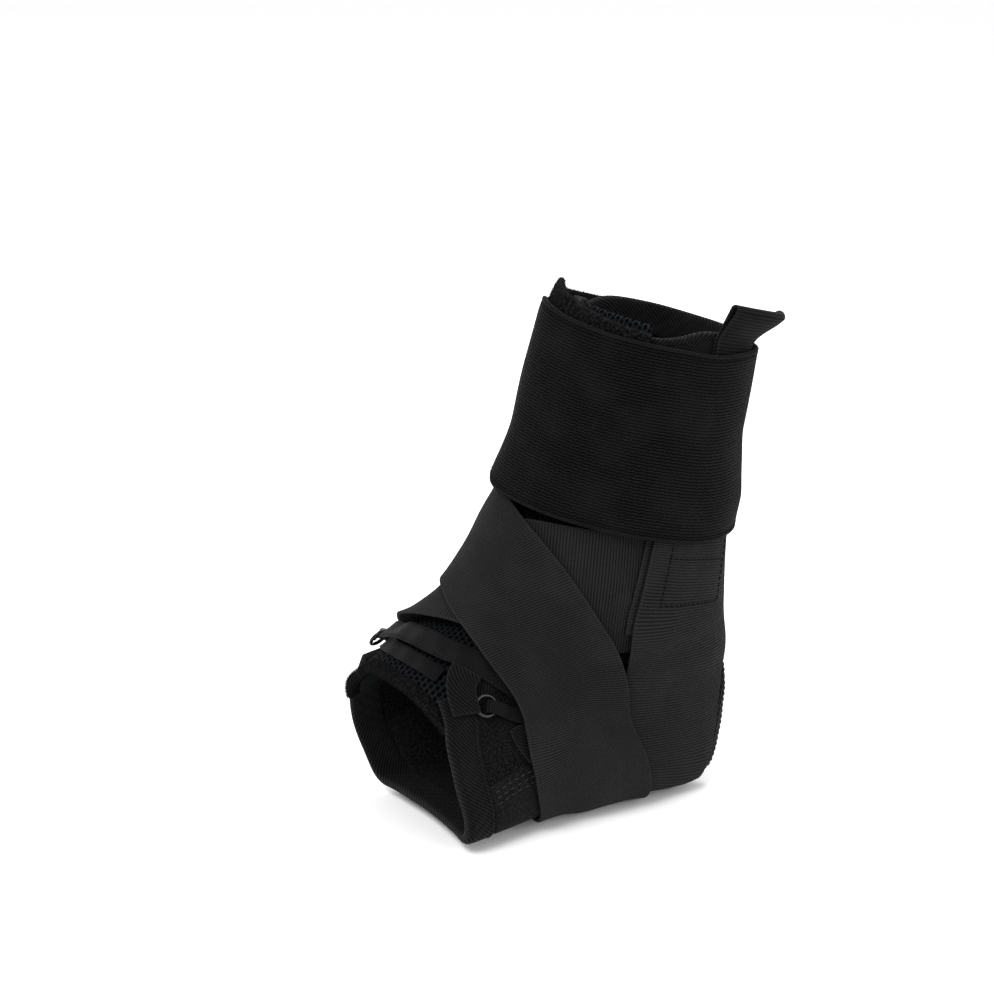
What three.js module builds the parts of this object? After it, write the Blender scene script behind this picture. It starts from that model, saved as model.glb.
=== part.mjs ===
// Ankle brace for a left foot: a shell of side panels, an Achilles panel and a sole sling,
// a tongue, two wrap straps and an elastic cuff, as they sit when the brace is done up.
// Millimetres. Toes point to -Y, the lateral side to +X, up is +Z, and the floor is Z = 0.
import * as THREE from "three";

// Driving dimensions of the form that the shell is shaped to.
const FORM_HEIGHT = 213; // floor to the end of the form, over the shin
const FORM_LENGTH = 166; // rear of the heel to the end of the form, over the instep
const ANKLE_WIDTH = 74; // across the form at the ankle bones
const SOLE_BLEND = 5; // height over which the sides turn into the flat sole
const CREST_SPREAD = 15; // degrees of the shin crest to each side of its top
const CREST_ANGLE = -7; // degrees from the front to the shin crest

// Thicknesses and clearances.
const PANEL_WALL = 3; // plush laminate of the shell
const TONGUE_WALL = 4; // spacer mesh
const TONGUE_DROP = 1.6; // tongue's face below the shell's lining
const BINDING_RISE = 0.5; // tape above the panel's face
const BINDING_TUCK = 1.1; // tape below the panel's lining
const STRAP_WALL = 1.6;
const HOOK_WALL = 0.9;
const UNDERWRAP_WALL = 2.8;
const CUFF_WALL = 2;
const CUFF_EASE = 1.3; // the cuff's least distance from the panels
const TAPE_WALL = 1;
const TAPE_RISE = 0.6; // the lace tape's least height over the form
const LAYER_GAP = 0.72; // between a piece and what it lies on
const SEAM_GAP = 0.8; // between pieces sewn edge to edge

// Widths and lengths of the bands.
const STRAP_WIDTH = 50;
const CUFF_HEIGHT = 76;
const CUFF_OVERLAP = 26; // degrees that the cuff's end lies over its start
const BINDING_WIDTH = 11.5;
const HEEL_BINDING_WIDTH = 9;
const LACING_BINDING_WIDTH = 8;
const TONGUE_EDGE_WIDTH = 5;
const UNDERWRAP_HEIGHT = 30;
const UNDERWRAP_SHOW = 4.5; // underwrap seen above the cuff
const HOOK_WIDTH = 14;
const HOOK_LENGTH = 62;
const HOOK_SHOW = 2.2; // hook strip seen past the strap's edge
const TAPE_WIDTH = 10;
const RETURN_WIDTH = 0.7 * TAPE_WIDTH; // the lace tape's way back, folded narrower
const STAY_WIDTH = 7;
const KEEPER_WIDTH = 5;
const TAB_WIDTH = 34;
const TAB_REACH = 32.5; // pull tab above its seam
const TAB_WALL = 0.9; // of each ply
const TAB_LOOP = 2.4; // hollow under the tab's fold
const TAB_FLARE = 8; // the tab's top, outwards
const RING_RADIUS = 4.1; // to the middle of the wire
const RING_WIRE = 0.7; // radius of the wire
const RING_SIDES = [6, 14]; // facets round the wire and round the ring
const WAD_WIDTH = 8;
const WAD_WALL = 2.6;

// How a band climbs over what lies under it.
const DRAPE_REACH = 8; // full height this far past an edge
const DRAPE_RAMP = 14; // and down again over this length
const CUFF_RAMP = 40;

// Facets: the longest step and the largest turn between two rows, in millimetres and degrees.
const FACET_STEP = 9.5;
const FACET_TURN = 18;

const SOLE_HEIGHT = PANEL_WALL + 2 * (LAYER_GAP + STRAP_WALL);

// Sections of the form from the leg's top, round the heel, to the instep. Each is a rounded
// oval through a front point and a rear point. Columns: reach and rise of the front and rear
// points (shares of FORM_LENGTH and FORM_HEIGHT), half widths to the lateral and medial side,
// sideways shift of the oval and of its ridge, and height of the shin crest (shares of
// ANKLE_WIDTH), and how square the oval is.
const FORM_COLUMNS = ["frontReach", "frontRise", "rearReach", "rearRise",
  "lateral", "medial", "shift", "ridge", "crest", "square"];
const FORM = [
  [0.0, 1.0, 0.404, 0.906, 0.459, 0.459, 0, 0, 0.03, 2.15],
  [-0.034, 0.948, 0.383, 0.854, 0.459, 0.459, 0, 0, 0.03, 2.15],
  [-0.102, 0.786, 0.349, 0.681, 0.486, 0.473, 0, 0, 0.025, 2.15],
  [-0.169, 0.634, 0.319, 0.507, 0.5, 0.5, 0, -0.014, 0.02, 2.2],
  [-0.219, 0.535, 0.31, 0.347, 0.527, 0.514, 0, -0.041, 0.01, 2.3],
  [-0.272, 0.474, 0.352, 0.169, 0.514, 0.5, 0, -0.068, 0, 2.4],
  [-0.333, 0.427, 0.292, -0.019, 0.486, 0.486, 0, -0.081, 0, 2.45],
  [-0.416, 0.39, 0.048, 0.005, 0.5, 0.5, 0.014, -0.095, 0, 2.35],
  [-0.5, 0.352, -0.181, -0.005, 0.527, 0.514, 0.014, -0.108, 0, 2.3],
  [-0.578, 0.31, -0.373, -0.033, 0.554, 0.527, 0.014, -0.108, 0, 2.3],
  [-0.657, 0.263, -0.554, -0.038, 0.581, 0.554, 0, -0.108, 0, 2.3],
];

// Lines on the form: a section number of the table above, and the angle round the section
// in degrees, 0 at the front ridge, 90 lateral, 180 at the rear or sole, 270 medial.
const LINE_COLUMNS = ["section", "angle"];
const TOE_LINE = [[8.2, 36], [8.44, 48], [8.6, 55], [8.86, 64], [9.12, 84], [9.24, 108], [9.36, 128], [9.42, 155],
  [9.42, 180], [9.42, 205], [9.36, 232], [9.3, 252], [9.22, 276], [9.0, 296], [8.72, 305], [8.55, 313], [8.3, 325]];
const LACING_LINE = [[0.2, 44], [2, 44], [4, 44], [6, 45], [7.5, 46], [8.9, 48]];
const TOP_LINE = [[0.93, 30], [0.93, 60], [0.78, 76], [0.42, 92], [0.28, 120], [0.3, 150], [0.3, 180],
  [0.3, 210], [0.28, 240], [0.42, 268], [0.78, 284], [0.93, 300], [0.93, 330]];
const ACHILLES_SEAM = [[-0.2, 149], [2, 150], [4, 150], [5.2, 151]];
const HEEL_LINE = [[4.5, 180], [4.62, 165], [4.95, 151], [5.35, 146], [5.8, 146], [6.2, 152], [6.5, 164],
  [6.58, 180], [6.5, 196], [6.2, 208], [5.8, 214], [5.35, 214], [4.95, 209], [4.62, 195]];
const SOLE_SEAM = [[5.4, 150], [5.95, 128], [6.4, 109], [7, 98], [8, 94.5], [9.8, 94]];
const TONGUE_TOP = [[0.55, -66], [0.35, -40], [0.3, -20], [0.32, 0], [0.45, 30], [0.6, 64]];
const TONGUE_TOE = [[9.25, -66], [9.15, -32], [8.86, -19], [8.8, 9], [8.72, 37], [8.7, 64]];
const TONGUE_SIDE_LATERAL = [[0, 57], [4, 57], [9.2, 58]];
const TONGUE_SIDE_MEDIAL = [[0, -60], [4, -60], [9.6, -60]];

// Routes of the wrap straps' middles, from the end under the cuff to the end fixed under its edge.
const INNER_STRAP = [[3.5, 133], [3.8, 92], [4.25, 54], [4.65, 29], [5.15, 2], [5.65, -27], [6.1, -52], [6.5, -78],
  [6.8, -102], [7.04, -125], [7.12, -152], [7.05, -180], [6.9, -207], [6.5, -237], [5.8, -255], [5.0, -257],
  [4.3, -253], [3.6, -249], [3.0, -246], [2.4, -245]];
const OUTER_STRAP = [[2.95, -115], [3.25, -72], [3.75, -36], [4.3, -9], [4.98, 22], [5.66, 45], [6.3, 67], [6.95, 90],
  [7.28, 115], [7.45, 145], [7.4, 178], [7.1, 207], [6.6, 234], [5.8, 252], [5.0, 255], [4.3, 252],
  [3.6, 249], [3.0, 247]];
const SELF_LAP = 0.5; // share of a strap's length past which it lies on its own start
const CUFF_FOOT = [[3.0, -100], [3.05, -60], [3.02, -19], [3.12, -1], [3.18, 26], [3.16, 54], [3.11, 77],
  [3.06, 100], [2.92, 130], [2.84, 160], [2.84, 190], [2.92, 225], [3.0, 260], [3.02, 290]];
const LACE_TAPE = [[7.72, -33], [7.55, -12], [7.46, 8], [7.36, 24], [7.22, 38], [7.1, 50], [7.0, 62]];
const LACE_RETURN = [[7.95, -31], [8.05, -14], [8.04, 6], [7.98, 22], [7.9, 34]];
const LACE_STAY = [[7.6, 73.5], [7.64, 76], [7.7, 81], [7.72, 92]];
const KEEPER = [[7.77, 58.5], [7.66, 62], [7.54, 66.5], [7.4, 71]];
const WAD = [[7.42, 41.5], [7.8, 43.5], [8.3, 47]];
const RING_PLACE = [7.77, 58.5];
const UNDERWRAP_SPAN = [-100, 57];
// The underwrap's upper edge: height above UNDERWRAP_SHOW as a share of it, by angle.
const UNDERWRAP_EDGE = [[-100, 0.1], [-60, 0.2], [-44, 0.5], [-34, 1.1], [-27, 0.6], [-10, 0.35], [20, 0.15], [57, -0.25]];
const TAB_PLACE = [1.3, 125];
const RING_PLACE_MEDIAL = [7.95, -44];
const KEEPER_MEDIAL = [[7.95, -44], [7.84, -48], [7.7, -53], [7.54, -58]];

const degrees = (angle) => THREE.MathUtils.degToRad(angle);
const smooth = (x) => THREE.MathUtils.smoothstep(x, 0, 1);
const named = (rows, columns) => rows.map((row) => Object.fromEntries(columns.map((name, k) => [name, row[k]])));

// The form

const sections = named(FORM, FORM_COLUMNS);

function sectionAt(u) {
  const last = sections.length - 1;
  const i = THREE.MathUtils.clamp(Math.floor(u), 0, last - 1);
  const t = u - i;
  const [before, a, b, after] = [sections[Math.max(i - 1, 0)], sections[i], sections[i + 1],
    sections[Math.min(i + 2, last)]];
  const row = {};
  for (const name of FORM_COLUMNS) {
    const slopeA = i === 0 ? b[name] - a[name] : (b[name] - before[name]) / 2;
    const slopeB = i === last - 1 ? b[name] - a[name] : (after[name] - a[name]) / 2;
    row[name] = (2 * t ** 3 - 3 * t ** 2 + 1) * a[name] + (t ** 3 - 2 * t ** 2 + t) * slopeA
      + (3 * t ** 2 - 2 * t ** 3) * b[name] + (t ** 3 - t ** 2) * slopeB;
  }
  return row;
}

function formPoint(u, angle) {
  const row = sectionAt(u);
  const c = Math.cos(degrees(angle));
  const s = Math.sin(degrees(angle));
  const round = (Math.abs(c) ** row.square + Math.abs(s) ** row.square) ** (-1 / row.square);
  const turn = ((angle - CREST_ANGLE + 180) % 360 + 360) % 360 - 180;
  const crest = row.crest * ANKLE_WIDTH * Math.exp(-((turn / CREST_SPREAD) ** 2));
  const along = (1 + round * c) / 2;
  const width = ANKLE_WIDTH * ((row.lateral + row.medial) / 2 + (row.lateral - row.medial) / 2 * s);
  const x = ANKLE_WIDTH * (row.shift + row.ridge * along) + width * round * s;
  const frontY = row.frontReach * FORM_LENGTH - crest;
  const rearY = row.rearReach * FORM_LENGTH;
  const y = rearY + (frontY - rearY) * along;
  const z = FORM_HEIGHT * (row.rearRise + (row.frontRise - row.rearRise) * along);
  const over = THREE.MathUtils.clamp(z - SOLE_HEIGHT, -SOLE_BLEND, SOLE_BLEND);
  const lifted = SOLE_HEIGHT + (over + SOLE_BLEND) ** 2 / (4 * SOLE_BLEND);
  return new THREE.Vector3(x, y, Math.max(z, lifted));
}

const TINY_SECTION = 0.01;
const TINY_ANGLE = 0.3;

function formSlopes(u, angle) {
  const down = formPoint(u + TINY_SECTION, angle).sub(formPoint(u - TINY_SECTION, angle))
    .divideScalar(2 * TINY_SECTION);
  const round = formPoint(u, angle + TINY_ANGLE).sub(formPoint(u, angle - TINY_ANGLE))
    .divideScalar(2 * TINY_ANGLE);
  return { down, round, normal: new THREE.Vector3().crossVectors(down, round).normalize() };
}

function lifted(place, height) {
  const normal = formSlopes(place.u, place.angle).normal;
  return formPoint(place.u, place.angle).addScaledVector(normal, height);
}

// One step over the form: the change of place, and the heading laid flat onto the form.
function stride({ u, angle }, heading, distance) {
  const { down, round, normal } = formSlopes(u, angle);
  const along = heading.clone().addScaledVector(normal, -heading.dot(normal)).normalize();
  const aa = down.dot(down);
  const ab = down.dot(round);
  const bb = round.dot(round);
  const a = along.dot(down) * distance;
  const b = along.dot(round) * distance;
  const scale = aa * bb - ab * ab;
  return { along, u: (a * bb - b * ab) / scale, angle: (b * aa - a * ab) / scale };
}

// Walks over the form for a distance, in equal steps. Each takes its heading from its middle.
function walk(place, direction, distance, steps) {
  const places = [place];
  let heading = direction;
  for (let k = 0; k < steps; k += 1) {
    const from = places[k];
    const first = stride(from, heading, distance / steps / 2);
    const whole = stride({ u: from.u + first.u, angle: from.angle + first.angle }, first.along, distance / steps);
    places.push({ u: from.u + whole.u, angle: from.angle + whole.angle });
    heading = whole.along;
  }
  return places;
}

// Lines: dense lists of places

const DEGREES_PER_SECTION = 30;
const LINE_SAMPLES = 160;
const WALK_STEP = 3;
const ROUTE_PASSES = 60;

function traced(rows, closed = false) {
  const points = named(rows, LINE_COLUMNS)
    .map((row) => new THREE.Vector3(row.section, row.angle / DEGREES_PER_SECTION, 0));
  const curve = new THREE.CatmullRomCurve3(points, closed, "centripetal");
  const samples = closed ? LINE_SAMPLES : LINE_SAMPLES + 1;
  return Array.from({ length: samples }, (_, k) => {
    const point = curve.getPoint(k / LINE_SAMPLES);
    return { u: point.x, angle: point.y * DEGREES_PER_SECTION };
  });
}

const mirrored = (rows) => rows.map(([section, angle]) => [section, 360 - angle]);

function travelAt(line, k, closed) {
  const wrap = (i) => (closed ? (i + line.length) % line.length : THREE.MathUtils.clamp(i, 0, line.length - 1));
  const a = line[wrap(k - 1)];
  const b = line[wrap(k + 1)];
  return formPoint(b.u, b.angle).sub(formPoint(a.u, a.angle)).normalize();
}

// The direction over the form at right angles to a line, to the left as seen from outside.
function sideAt(line, k, closed) {
  const { normal } = formSlopes(line[k].u, line[k].angle);
  return new THREE.Vector3().crossVectors(normal, travelAt(line, k, closed)).normalize();
}

function shifted(line, distance, closed = false) {
  const steps = Math.max(1, Math.ceil(Math.abs(distance) / WALK_STEP));
  return line.map((place, k) => {
    const side = sideAt(line, k, closed).multiplyScalar(Math.sign(distance) || 1);
    return walk(place, side, Math.abs(distance), steps)[steps];
  });
}

function crossing(lineA, lineB) {
  for (let i = 0; i < lineA.length - 1; i += 1) {
    for (let k = 0; k < lineB.length - 1; k += 1) {
      const [p, q, r, s] = [lineA[i], lineA[i + 1], lineB[k], lineB[k + 1]];
      const [ax, ay, bx, by] = [q.u - p.u, q.angle - p.angle, s.u - r.u, s.angle - r.angle];
      const area = ax * by - ay * bx;
      const a = ((r.u - p.u) * by - (r.angle - p.angle) * bx) / area;
      const b = ((r.u - p.u) * ay - (r.angle - p.angle) * ax) / area;
      if (a >= 0 && a <= 1 && b >= 0 && b <= 1) return [i + a, k + b];
    }
  }
  throw new Error("Two lines that meet at a corner of a panel do not cross.");
}

function placeOn(line, index) {
  const i = Math.min(Math.floor(index), line.length - 2);
  const t = index - i;
  return {
    u: THREE.MathUtils.lerp(line[i].u, line[i + 1].u, t),
    angle: THREE.MathUtils.lerp(line[i].angle, line[i + 1].angle, t),
  };
}

function stretch(line, from, to) {
  const inner = line.slice(Math.floor(Math.min(from, to)) + 1, Math.ceil(Math.max(from, to)));
  if (from > to) inner.reverse();
  return [placeOn(line, from), ...inner, placeOn(line, to)];
}

// A strap's route: webbing under tension has no kinks, so the traced line is evened out.
function routed(rows) {
  let line = traced(rows);
  for (let pass = 0; pass < ROUTE_PASSES; pass += 1) {
    line = line.map((place, k) => {
      const [a, b] = [line[Math.max(k - 1, 0)], line[Math.min(k + 1, line.length - 1)]];
      return k % (line.length - 1) === 0 ? place
        : { u: (a.u + 2 * place.u + b.u) / 4, angle: (a.angle + 2 * place.angle + b.angle) / 4 };
    });
  }
  return line;
}

// Splits a line into steps that are short where the form bends under it or under the lines beside it.
function spaced(line, step = FACET_STEP, beside = [line]) {
  const cost = [0];
  for (let k = 1; k < line.length; k += 1) {
    const length = lifted(line[k], 0).distanceTo(lifted(line[k - 1], 0));
    const bend = Math.max(...beside.map((other) => {
      const [a, b] = [other[k - 1], other[k]].map((place) => formSlopes(place.u, place.angle).normal);
      return THREE.MathUtils.radToDeg(a.angleTo(b));
    }));
    cost.push(cost[k - 1] + Math.hypot(length / step, bend / FACET_TURN));
  }
  const count = Math.max(1, Math.ceil(cost.at(-1)));
  return equally(line, cost, count);
}

function equally(line, cost, count) {
  return Array.from({ length: count + 1 }, (_, n) => {
    const goal = cost.at(-1) * n / count;
    let k = 1;
    while (k < cost.length - 1 && cost[k] < goal) k += 1;
    const span = cost[k] - cost[k - 1] || 1;
    return placeOn(line, k - 1 + THREE.MathUtils.clamp((goal - cost[k - 1]) / span, 0, 1));
  });
}

function evenly(line, count) {
  const cost = [0];
  for (let k = 1; k < line.length; k += 1) {
    cost.push(cost[k - 1] + lifted(line[k], 0).distanceTo(lifted(line[k - 1], 0)));
  }
  return equally(line, cost, count);
}

// Grids of places: rows of places on the form

// A band along a line, as wide as it is all along.
function bandGrid(line, width, columns, closed = false, step = FACET_STEP) {
  const beside = [line, shifted(line, width / 2), shifted(line, -width / 2)];
  const stations = closed ? evenlyClosed(line) : spaced(line, step, beside);
  return stations.map((place, k) => {
    const side = sideAt(stations, k, closed);
    const left = walk(place, side.clone().negate(), width / 2, columns / 2).reverse();
    return [...left, ...walk(place, side, width / 2, columns / 2).slice(1)];
  });
}

function evenlyClosed(line) {
  return spaced([...line, { u: line[0].u, angle: line[0].angle }].map((place, k, all) => {
    const jump = k > 0 && Math.abs(place.angle - all[k - 1].angle) > 180;
    return jump ? { u: place.u, angle: all[k - 1].angle } : place;
  })).slice(0, -1);
}

// A patch between four lines, which meet at its corners.
function patchGrid(top, bottom, left, right, rows, columns) {
  const [a, b] = [evenly(top, columns), evenly(bottom, columns)];
  const [c, d] = [evenly(left, rows), evenly(right, rows)];
  const blend = (name, i, j) => {
    const [s, t] = [j / columns, i / rows];
    const corners = (1 - s) * (1 - t) * a[0][name] + s * (1 - t) * a[columns][name]
      + (1 - s) * t * b[0][name] + s * t * b[columns][name];
    return (1 - t) * a[j][name] + t * b[j][name] + (1 - s) * c[i][name] + s * d[i][name] - corners;
  };
  return c.map((_, i) => a.map((__, j) => ({ u: blend("u", i, j), angle: blend("angle", i, j) })));
}

// Solids

// A closed body between two grids of points, the outer one on the left as its rows are walked.
function body(outer, inner, looped = false) {
  const rows = outer.length;
  const columns = outer[0].length;
  const points = [...outer.flat(), ...inner.flat()];
  const faces = [];
  const out = (i, j) => (i % rows) * columns + j;
  const back = (i, j) => rows * columns + out(i, j);
  const wall = (a, b, c, d) => faces.push(b, a, c, b, c, d);
  const spans = looped ? rows : rows - 1;
  for (let i = 0; i < spans; i += 1) {
    for (let j = 0; j < columns - 1; j += 1) {
      faces.push(out(i, j), out(i + 1, j), out(i + 1, j + 1), out(i, j), out(i + 1, j + 1), out(i, j + 1));
      faces.push(back(i, j), back(i + 1, j + 1), back(i + 1, j), back(i, j), back(i, j + 1), back(i + 1, j + 1));
    }
    wall(out(i, 0), out(i + 1, 0), back(i, 0), back(i + 1, 0));
    wall(out(i + 1, columns - 1), out(i, columns - 1), back(i + 1, columns - 1), back(i, columns - 1));
  }
  for (let j = 0; j < columns - 1 && !looped; j += 1) {
    wall(out(rows - 1, j), out(rows - 1, j + 1), back(rows - 1, j), back(rows - 1, j + 1));
    wall(out(0, j + 1), out(0, j), back(0, j + 1), back(0, j));
  }
  const geometry = new THREE.BufferGeometry();
  geometry.setAttribute("position", new THREE.Float32BufferAttribute(points.flatMap((p) => p.toArray()), 3));
  geometry.setIndex(faces);
  geometry.computeVertexNormals();
  return geometry;
}

const brace = new THREE.Group();
brace.name = "ankle_brace";
const covers = {}; // for each piece, where it lies on the form and how high its outer face is

const FINISHES = {
  plush: { color: 0x1d1d1f, roughness: 0.95 },
  mesh: { color: 0x20262a, roughness: 0.85 },
  twill: { color: 0x222224, roughness: 0.85 },
  webbing: { color: 0x2b2a2c, roughness: 0.75 },
  hook: { color: 0x1b1b1d, roughness: 0.9 },
  elastic: { color: 0x242427, roughness: 0.8 },
  satin: { color: 0x303032, roughness: 0.5 },
  enamel: { color: 0x0c0c0d, roughness: 0.25, metalness: 0.6 },
};

function addMesh(name, finish, geometry) {
  const mesh = new THREE.Mesh(geometry, new THREE.MeshStandardMaterial(FINISHES[finish]));
  mesh.name = name;
  brace.add(mesh);
}

// Adds a layer of cloth: a grid of places, the height of its inner face at each, and its wall.
function addLayer(name, finish, grid, heights, wall, looped = false) {
  const outer = grid.map((row, i) => row.map((place, j) => lifted(place, heights[i][j] + wall)));
  const inner = grid.map((row, i) => row.map((place, j) => lifted(place, heights[i][j])));
  covers[name] = grid.flatMap((row, i) => row.map((place, j) => (
    { point: formPoint(place.u, place.angle), top: heights[i][j] + wall, row: i / (grid.length - 1) })));
  addMesh(name, finish, body(outer, inner, looped));
}

const flat = (grid, height) => grid.map((row) => row.map(() => height));

// Heights of a layer's inner face: its base, raised over the pieces that it lies on.
function draped(grid, base, under, ramp = DRAPE_RAMP) {
  return grid.map((row) => row.map((place) => {
    const point = formPoint(place.u, place.angle);
    return under.reduce((height, spot) => {
      const fall = 1 - smooth((spot.point.distanceTo(point) - DRAPE_REACH) / ramp);
      return Math.max(height, base + (spot.top + LAYER_GAP - base) * fall);
    }, base);
  }));
}

const spotsOf = (...names) => names.flatMap((name) => covers[name]);
const PANEL_TOP = PANEL_WALL + LAYER_GAP;

// Shell: side panels, Achilles panel and sole sling, and the tapes that bind their edges

const toeLine = traced(TOE_LINE);
const topLine = traced(TOP_LINE);
const heelLine = traced(HEEL_LINE, true);
const lacingLines = { lateral: traced(LACING_LINE), medial: traced(mirrored(LACING_LINE)) };
const achillesSeams = { lateral: traced(ACHILLES_SEAM), medial: traced(mirrored(ACHILLES_SEAM)) };
const soleSeams = { lateral: traced(SOLE_SEAM), medial: traced(mirrored(SOLE_SEAM)) };

const toeEdge = shifted(toeLine, BINDING_WIDTH + SEAM_GAP);
const topEdge = shifted(topLine, -(BINDING_WIDTH + SEAM_GAP));
const heelEdge = shifted(heelLine, -(HEEL_BINDING_WIDTH + SEAM_GAP), true);
heelEdge.push({ ...heelEdge[0] });
const half = Math.floor(heelEdge.length / 2);
const heelEdges = { lateral: heelEdge.slice(0, half + 1), medial: heelEdge.slice(half) };

const PANEL_ROWS = 22;
const PANEL_COLUMNS = 9;
const ACHILLES_ROWS = 12;
const ACHILLES_COLUMNS = 6;
const SLING_ROWS = 11;
const SLING_COLUMNS = 16;

// The rear line of a side panel: down the Achilles seam, round the heel opening, along the sole.
function panelRear(side, inward) {
  const seam = shifted(achillesSeams[side], inward * SEAM_GAP / 2);
  const sole = shifted(soleSeams[side], inward * SEAM_GAP / 2);
  const [seamEnd, heelStart] = crossing(seam, heelEdges[side]);
  const [heelEnd, soleStart] = crossing(heelEdges[side], sole);
  return [seam, seamEnd, heelStart, heelEnd, sole, soleStart];
}

function addPanel(side) {
  // Seen from outside, a panel lies to the right of its rear lines on the lateral side.
  const inward = side === "lateral" ? -1 : 1;
  const lacing = shifted(lacingLines[side], -inward * (LACING_BINDING_WIDTH + SEAM_GAP));
  const [seam, seamEnd, heelStart, heelEnd, sole, soleStart] = panelRear(side, inward);
  const [topFront, lacingTop] = crossing(topEdge, lacing);
  const [topRear, seamTop] = crossing(topEdge, seam);
  const [toeFront, lacingToe] = crossing(toeEdge, lacing);
  const [toeSole, soleToe] = crossing(toeEdge, sole);
  const front = stretch(lacing, lacingTop, lacingToe);
  const rear = [...stretch(seam, seamTop, seamEnd), ...stretch(heelEdges[side], heelStart, heelEnd).slice(1),
    ...stretch(sole, soleStart, soleToe).slice(1)];
  const top = stretch(topEdge, topFront, topRear);
  const toe = stretch(toeEdge, toeFront, toeSole);
  const grid = side === "lateral" ? patchGrid(top, toe, front, rear, PANEL_ROWS, PANEL_COLUMNS)
    : patchGrid([...top].reverse(), [...toe].reverse(), rear, front, PANEL_ROWS, PANEL_COLUMNS);
  addLayer(`side_panel_${side}`, "plush", grid, flat(grid, 0), PANEL_WALL);
}

function addAchillesPanel() {
  const [left, right] = [shifted(achillesSeams.lateral, SEAM_GAP / 2), shifted(achillesSeams.medial, -SEAM_GAP / 2)];
  const heel = [...heelEdge.slice(half, -1), ...heelEdge.slice(0, half + 1)].reverse();
  const [topLeft, leftTop] = crossing(topEdge, left);
  const [topRight, rightTop] = crossing(topEdge, right);
  const [heelLeft, leftHeel] = crossing(heel, left);
  const [heelRight, rightHeel] = crossing(heel, right);
  const grid = patchGrid(stretch(topEdge, topLeft, topRight), stretch(heel, heelLeft, heelRight),
    stretch(left, leftTop, leftHeel), stretch(right, rightTop, rightHeel), ACHILLES_ROWS, ACHILLES_COLUMNS);
  addLayer("achilles_panel", "elastic", grid, flat(grid, 0), PANEL_WALL);
}

function addSling() {
  const [left, right] = [shifted(soleSeams.lateral, SEAM_GAP / 2), shifted(soleSeams.medial, -SEAM_GAP / 2)];
  const heel = heelEdge;
  const [heelLeft, leftHeel] = crossing(heel, left);
  const [heelRight, rightHeel] = crossing(heel, right);
  const [toeLeft, leftToe] = crossing(toeEdge, left);
  const [toeRight, rightToe] = crossing(toeEdge, right);
  const grid = patchGrid(stretch(heel, heelLeft, heelRight), stretch(toeEdge, toeLeft, toeRight),
    stretch(left, leftHeel, leftToe), stretch(right, rightHeel, rightToe), SLING_ROWS, SLING_COLUMNS);
  addLayer("sole_sling", "elastic", grid, flat(grid, 0), PANEL_WALL);
}

function addBinding(name, line, width, rise, closed = false) {
  const grid = bandGrid(line, width, 2, closed);
  addLayer(name, "twill", grid, flat(grid, -BINDING_TUCK), BINDING_TUCK + PANEL_WALL + rise, closed);
}

function trimmedBetween(line, first, second) {
  return stretch(line, crossing(line, first)[0], crossing(line, second)[0]);
}

addPanel("lateral");
addPanel("medial");
addAchillesPanel();
addSling();

const toeMiddle = shifted(toeLine, BINDING_WIDTH / 2);
const topMiddle = shifted(topLine, -BINDING_WIDTH / 2);
const heelMiddle = shifted(heelLine, -HEEL_BINDING_WIDTH / 2, true);
addBinding("toe_binding", trimmedBetween(toeMiddle, lacingLines.lateral, lacingLines.medial), BINDING_WIDTH,
  BINDING_RISE);
addBinding("top_binding", trimmedBetween(topMiddle, lacingLines.lateral, lacingLines.medial), BINDING_WIDTH, 0);
addBinding("heel_binding", heelMiddle, HEEL_BINDING_WIDTH, 0, true);
for (const [side, inward] of [["lateral", 1], ["medial", -1]]) {
  const middle = shifted(lacingLines[side], inward * LACING_BINDING_WIDTH / 2);
  addBinding(`lacing_binding_${side}`, trimmedBetween(middle, topEdge, toeEdge), LACING_BINDING_WIDTH, 0);
}

// Tongue: spacer mesh with a plush edge at its toe end, inside the shell

const TONGUE_ROWS = 20;
const TONGUE_COLUMNS = 9;

function addTongue() {
  const toe = traced(TONGUE_TOE);
  const meshToe = shifted(toe, TONGUE_EDGE_WIDTH + SEAM_GAP);
  const [top, left, right] = [traced(TONGUE_TOP), traced(TONGUE_SIDE_MEDIAL), traced(TONGUE_SIDE_LATERAL)];
  const [topLeft, leftTop] = crossing(top, left);
  const [topRight, rightTop] = crossing(top, right);
  const [toeLeft, leftToe] = crossing(meshToe, left);
  const [toeRight, rightToe] = crossing(meshToe, right);
  const grid = patchGrid(stretch(top, topLeft, topRight), stretch(meshToe, toeLeft, toeRight),
    stretch(left, leftTop, leftToe), stretch(right, rightTop, rightToe), TONGUE_ROWS, TONGUE_COLUMNS);
  addLayer("tongue", "mesh", grid, flat(grid, -TONGUE_DROP - TONGUE_WALL), TONGUE_WALL);
  const edge = trimmedBetween(shifted(toe, TONGUE_EDGE_WIDTH / 2), left, right);
  const edgeGrid = bandGrid(edge, TONGUE_EDGE_WIDTH, 2);
  addLayer("tongue_edge", "plush", edgeGrid, flat(edgeGrid, -TONGUE_DROP - TONGUE_WALL), TONGUE_WALL);
}

addTongue();

// Lacing at the instep: a flat tape from a medial ring over the tongue, its return, the rings,
// the keepers that hold them, an edge stay, and the folded end of the toe binding

function addBand(name, finish, rows, width, wall, base, under, columns = 2) {
  const grid = bandGrid(traced(rows), width, columns);
  addLayer(name, finish, grid, draped(grid, base, under, DRAPE_RAMP), wall);
}

function addRing(name, [u, angle]) {
  const height = PANEL_TOP + BINDING_RISE + RING_WIRE;
  const geometry = new THREE.TorusGeometry(RING_RADIUS, RING_WIRE, ...RING_SIDES);
  const turn = new THREE.Quaternion().setFromUnitVectors(new THREE.Vector3(0, 0, 1), formSlopes(u, angle).normal);
  geometry.applyQuaternion(turn);
  geometry.translate(...lifted({ u, angle }, height).toArray());
  addMesh(name, "enamel", geometry);
}

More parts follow.
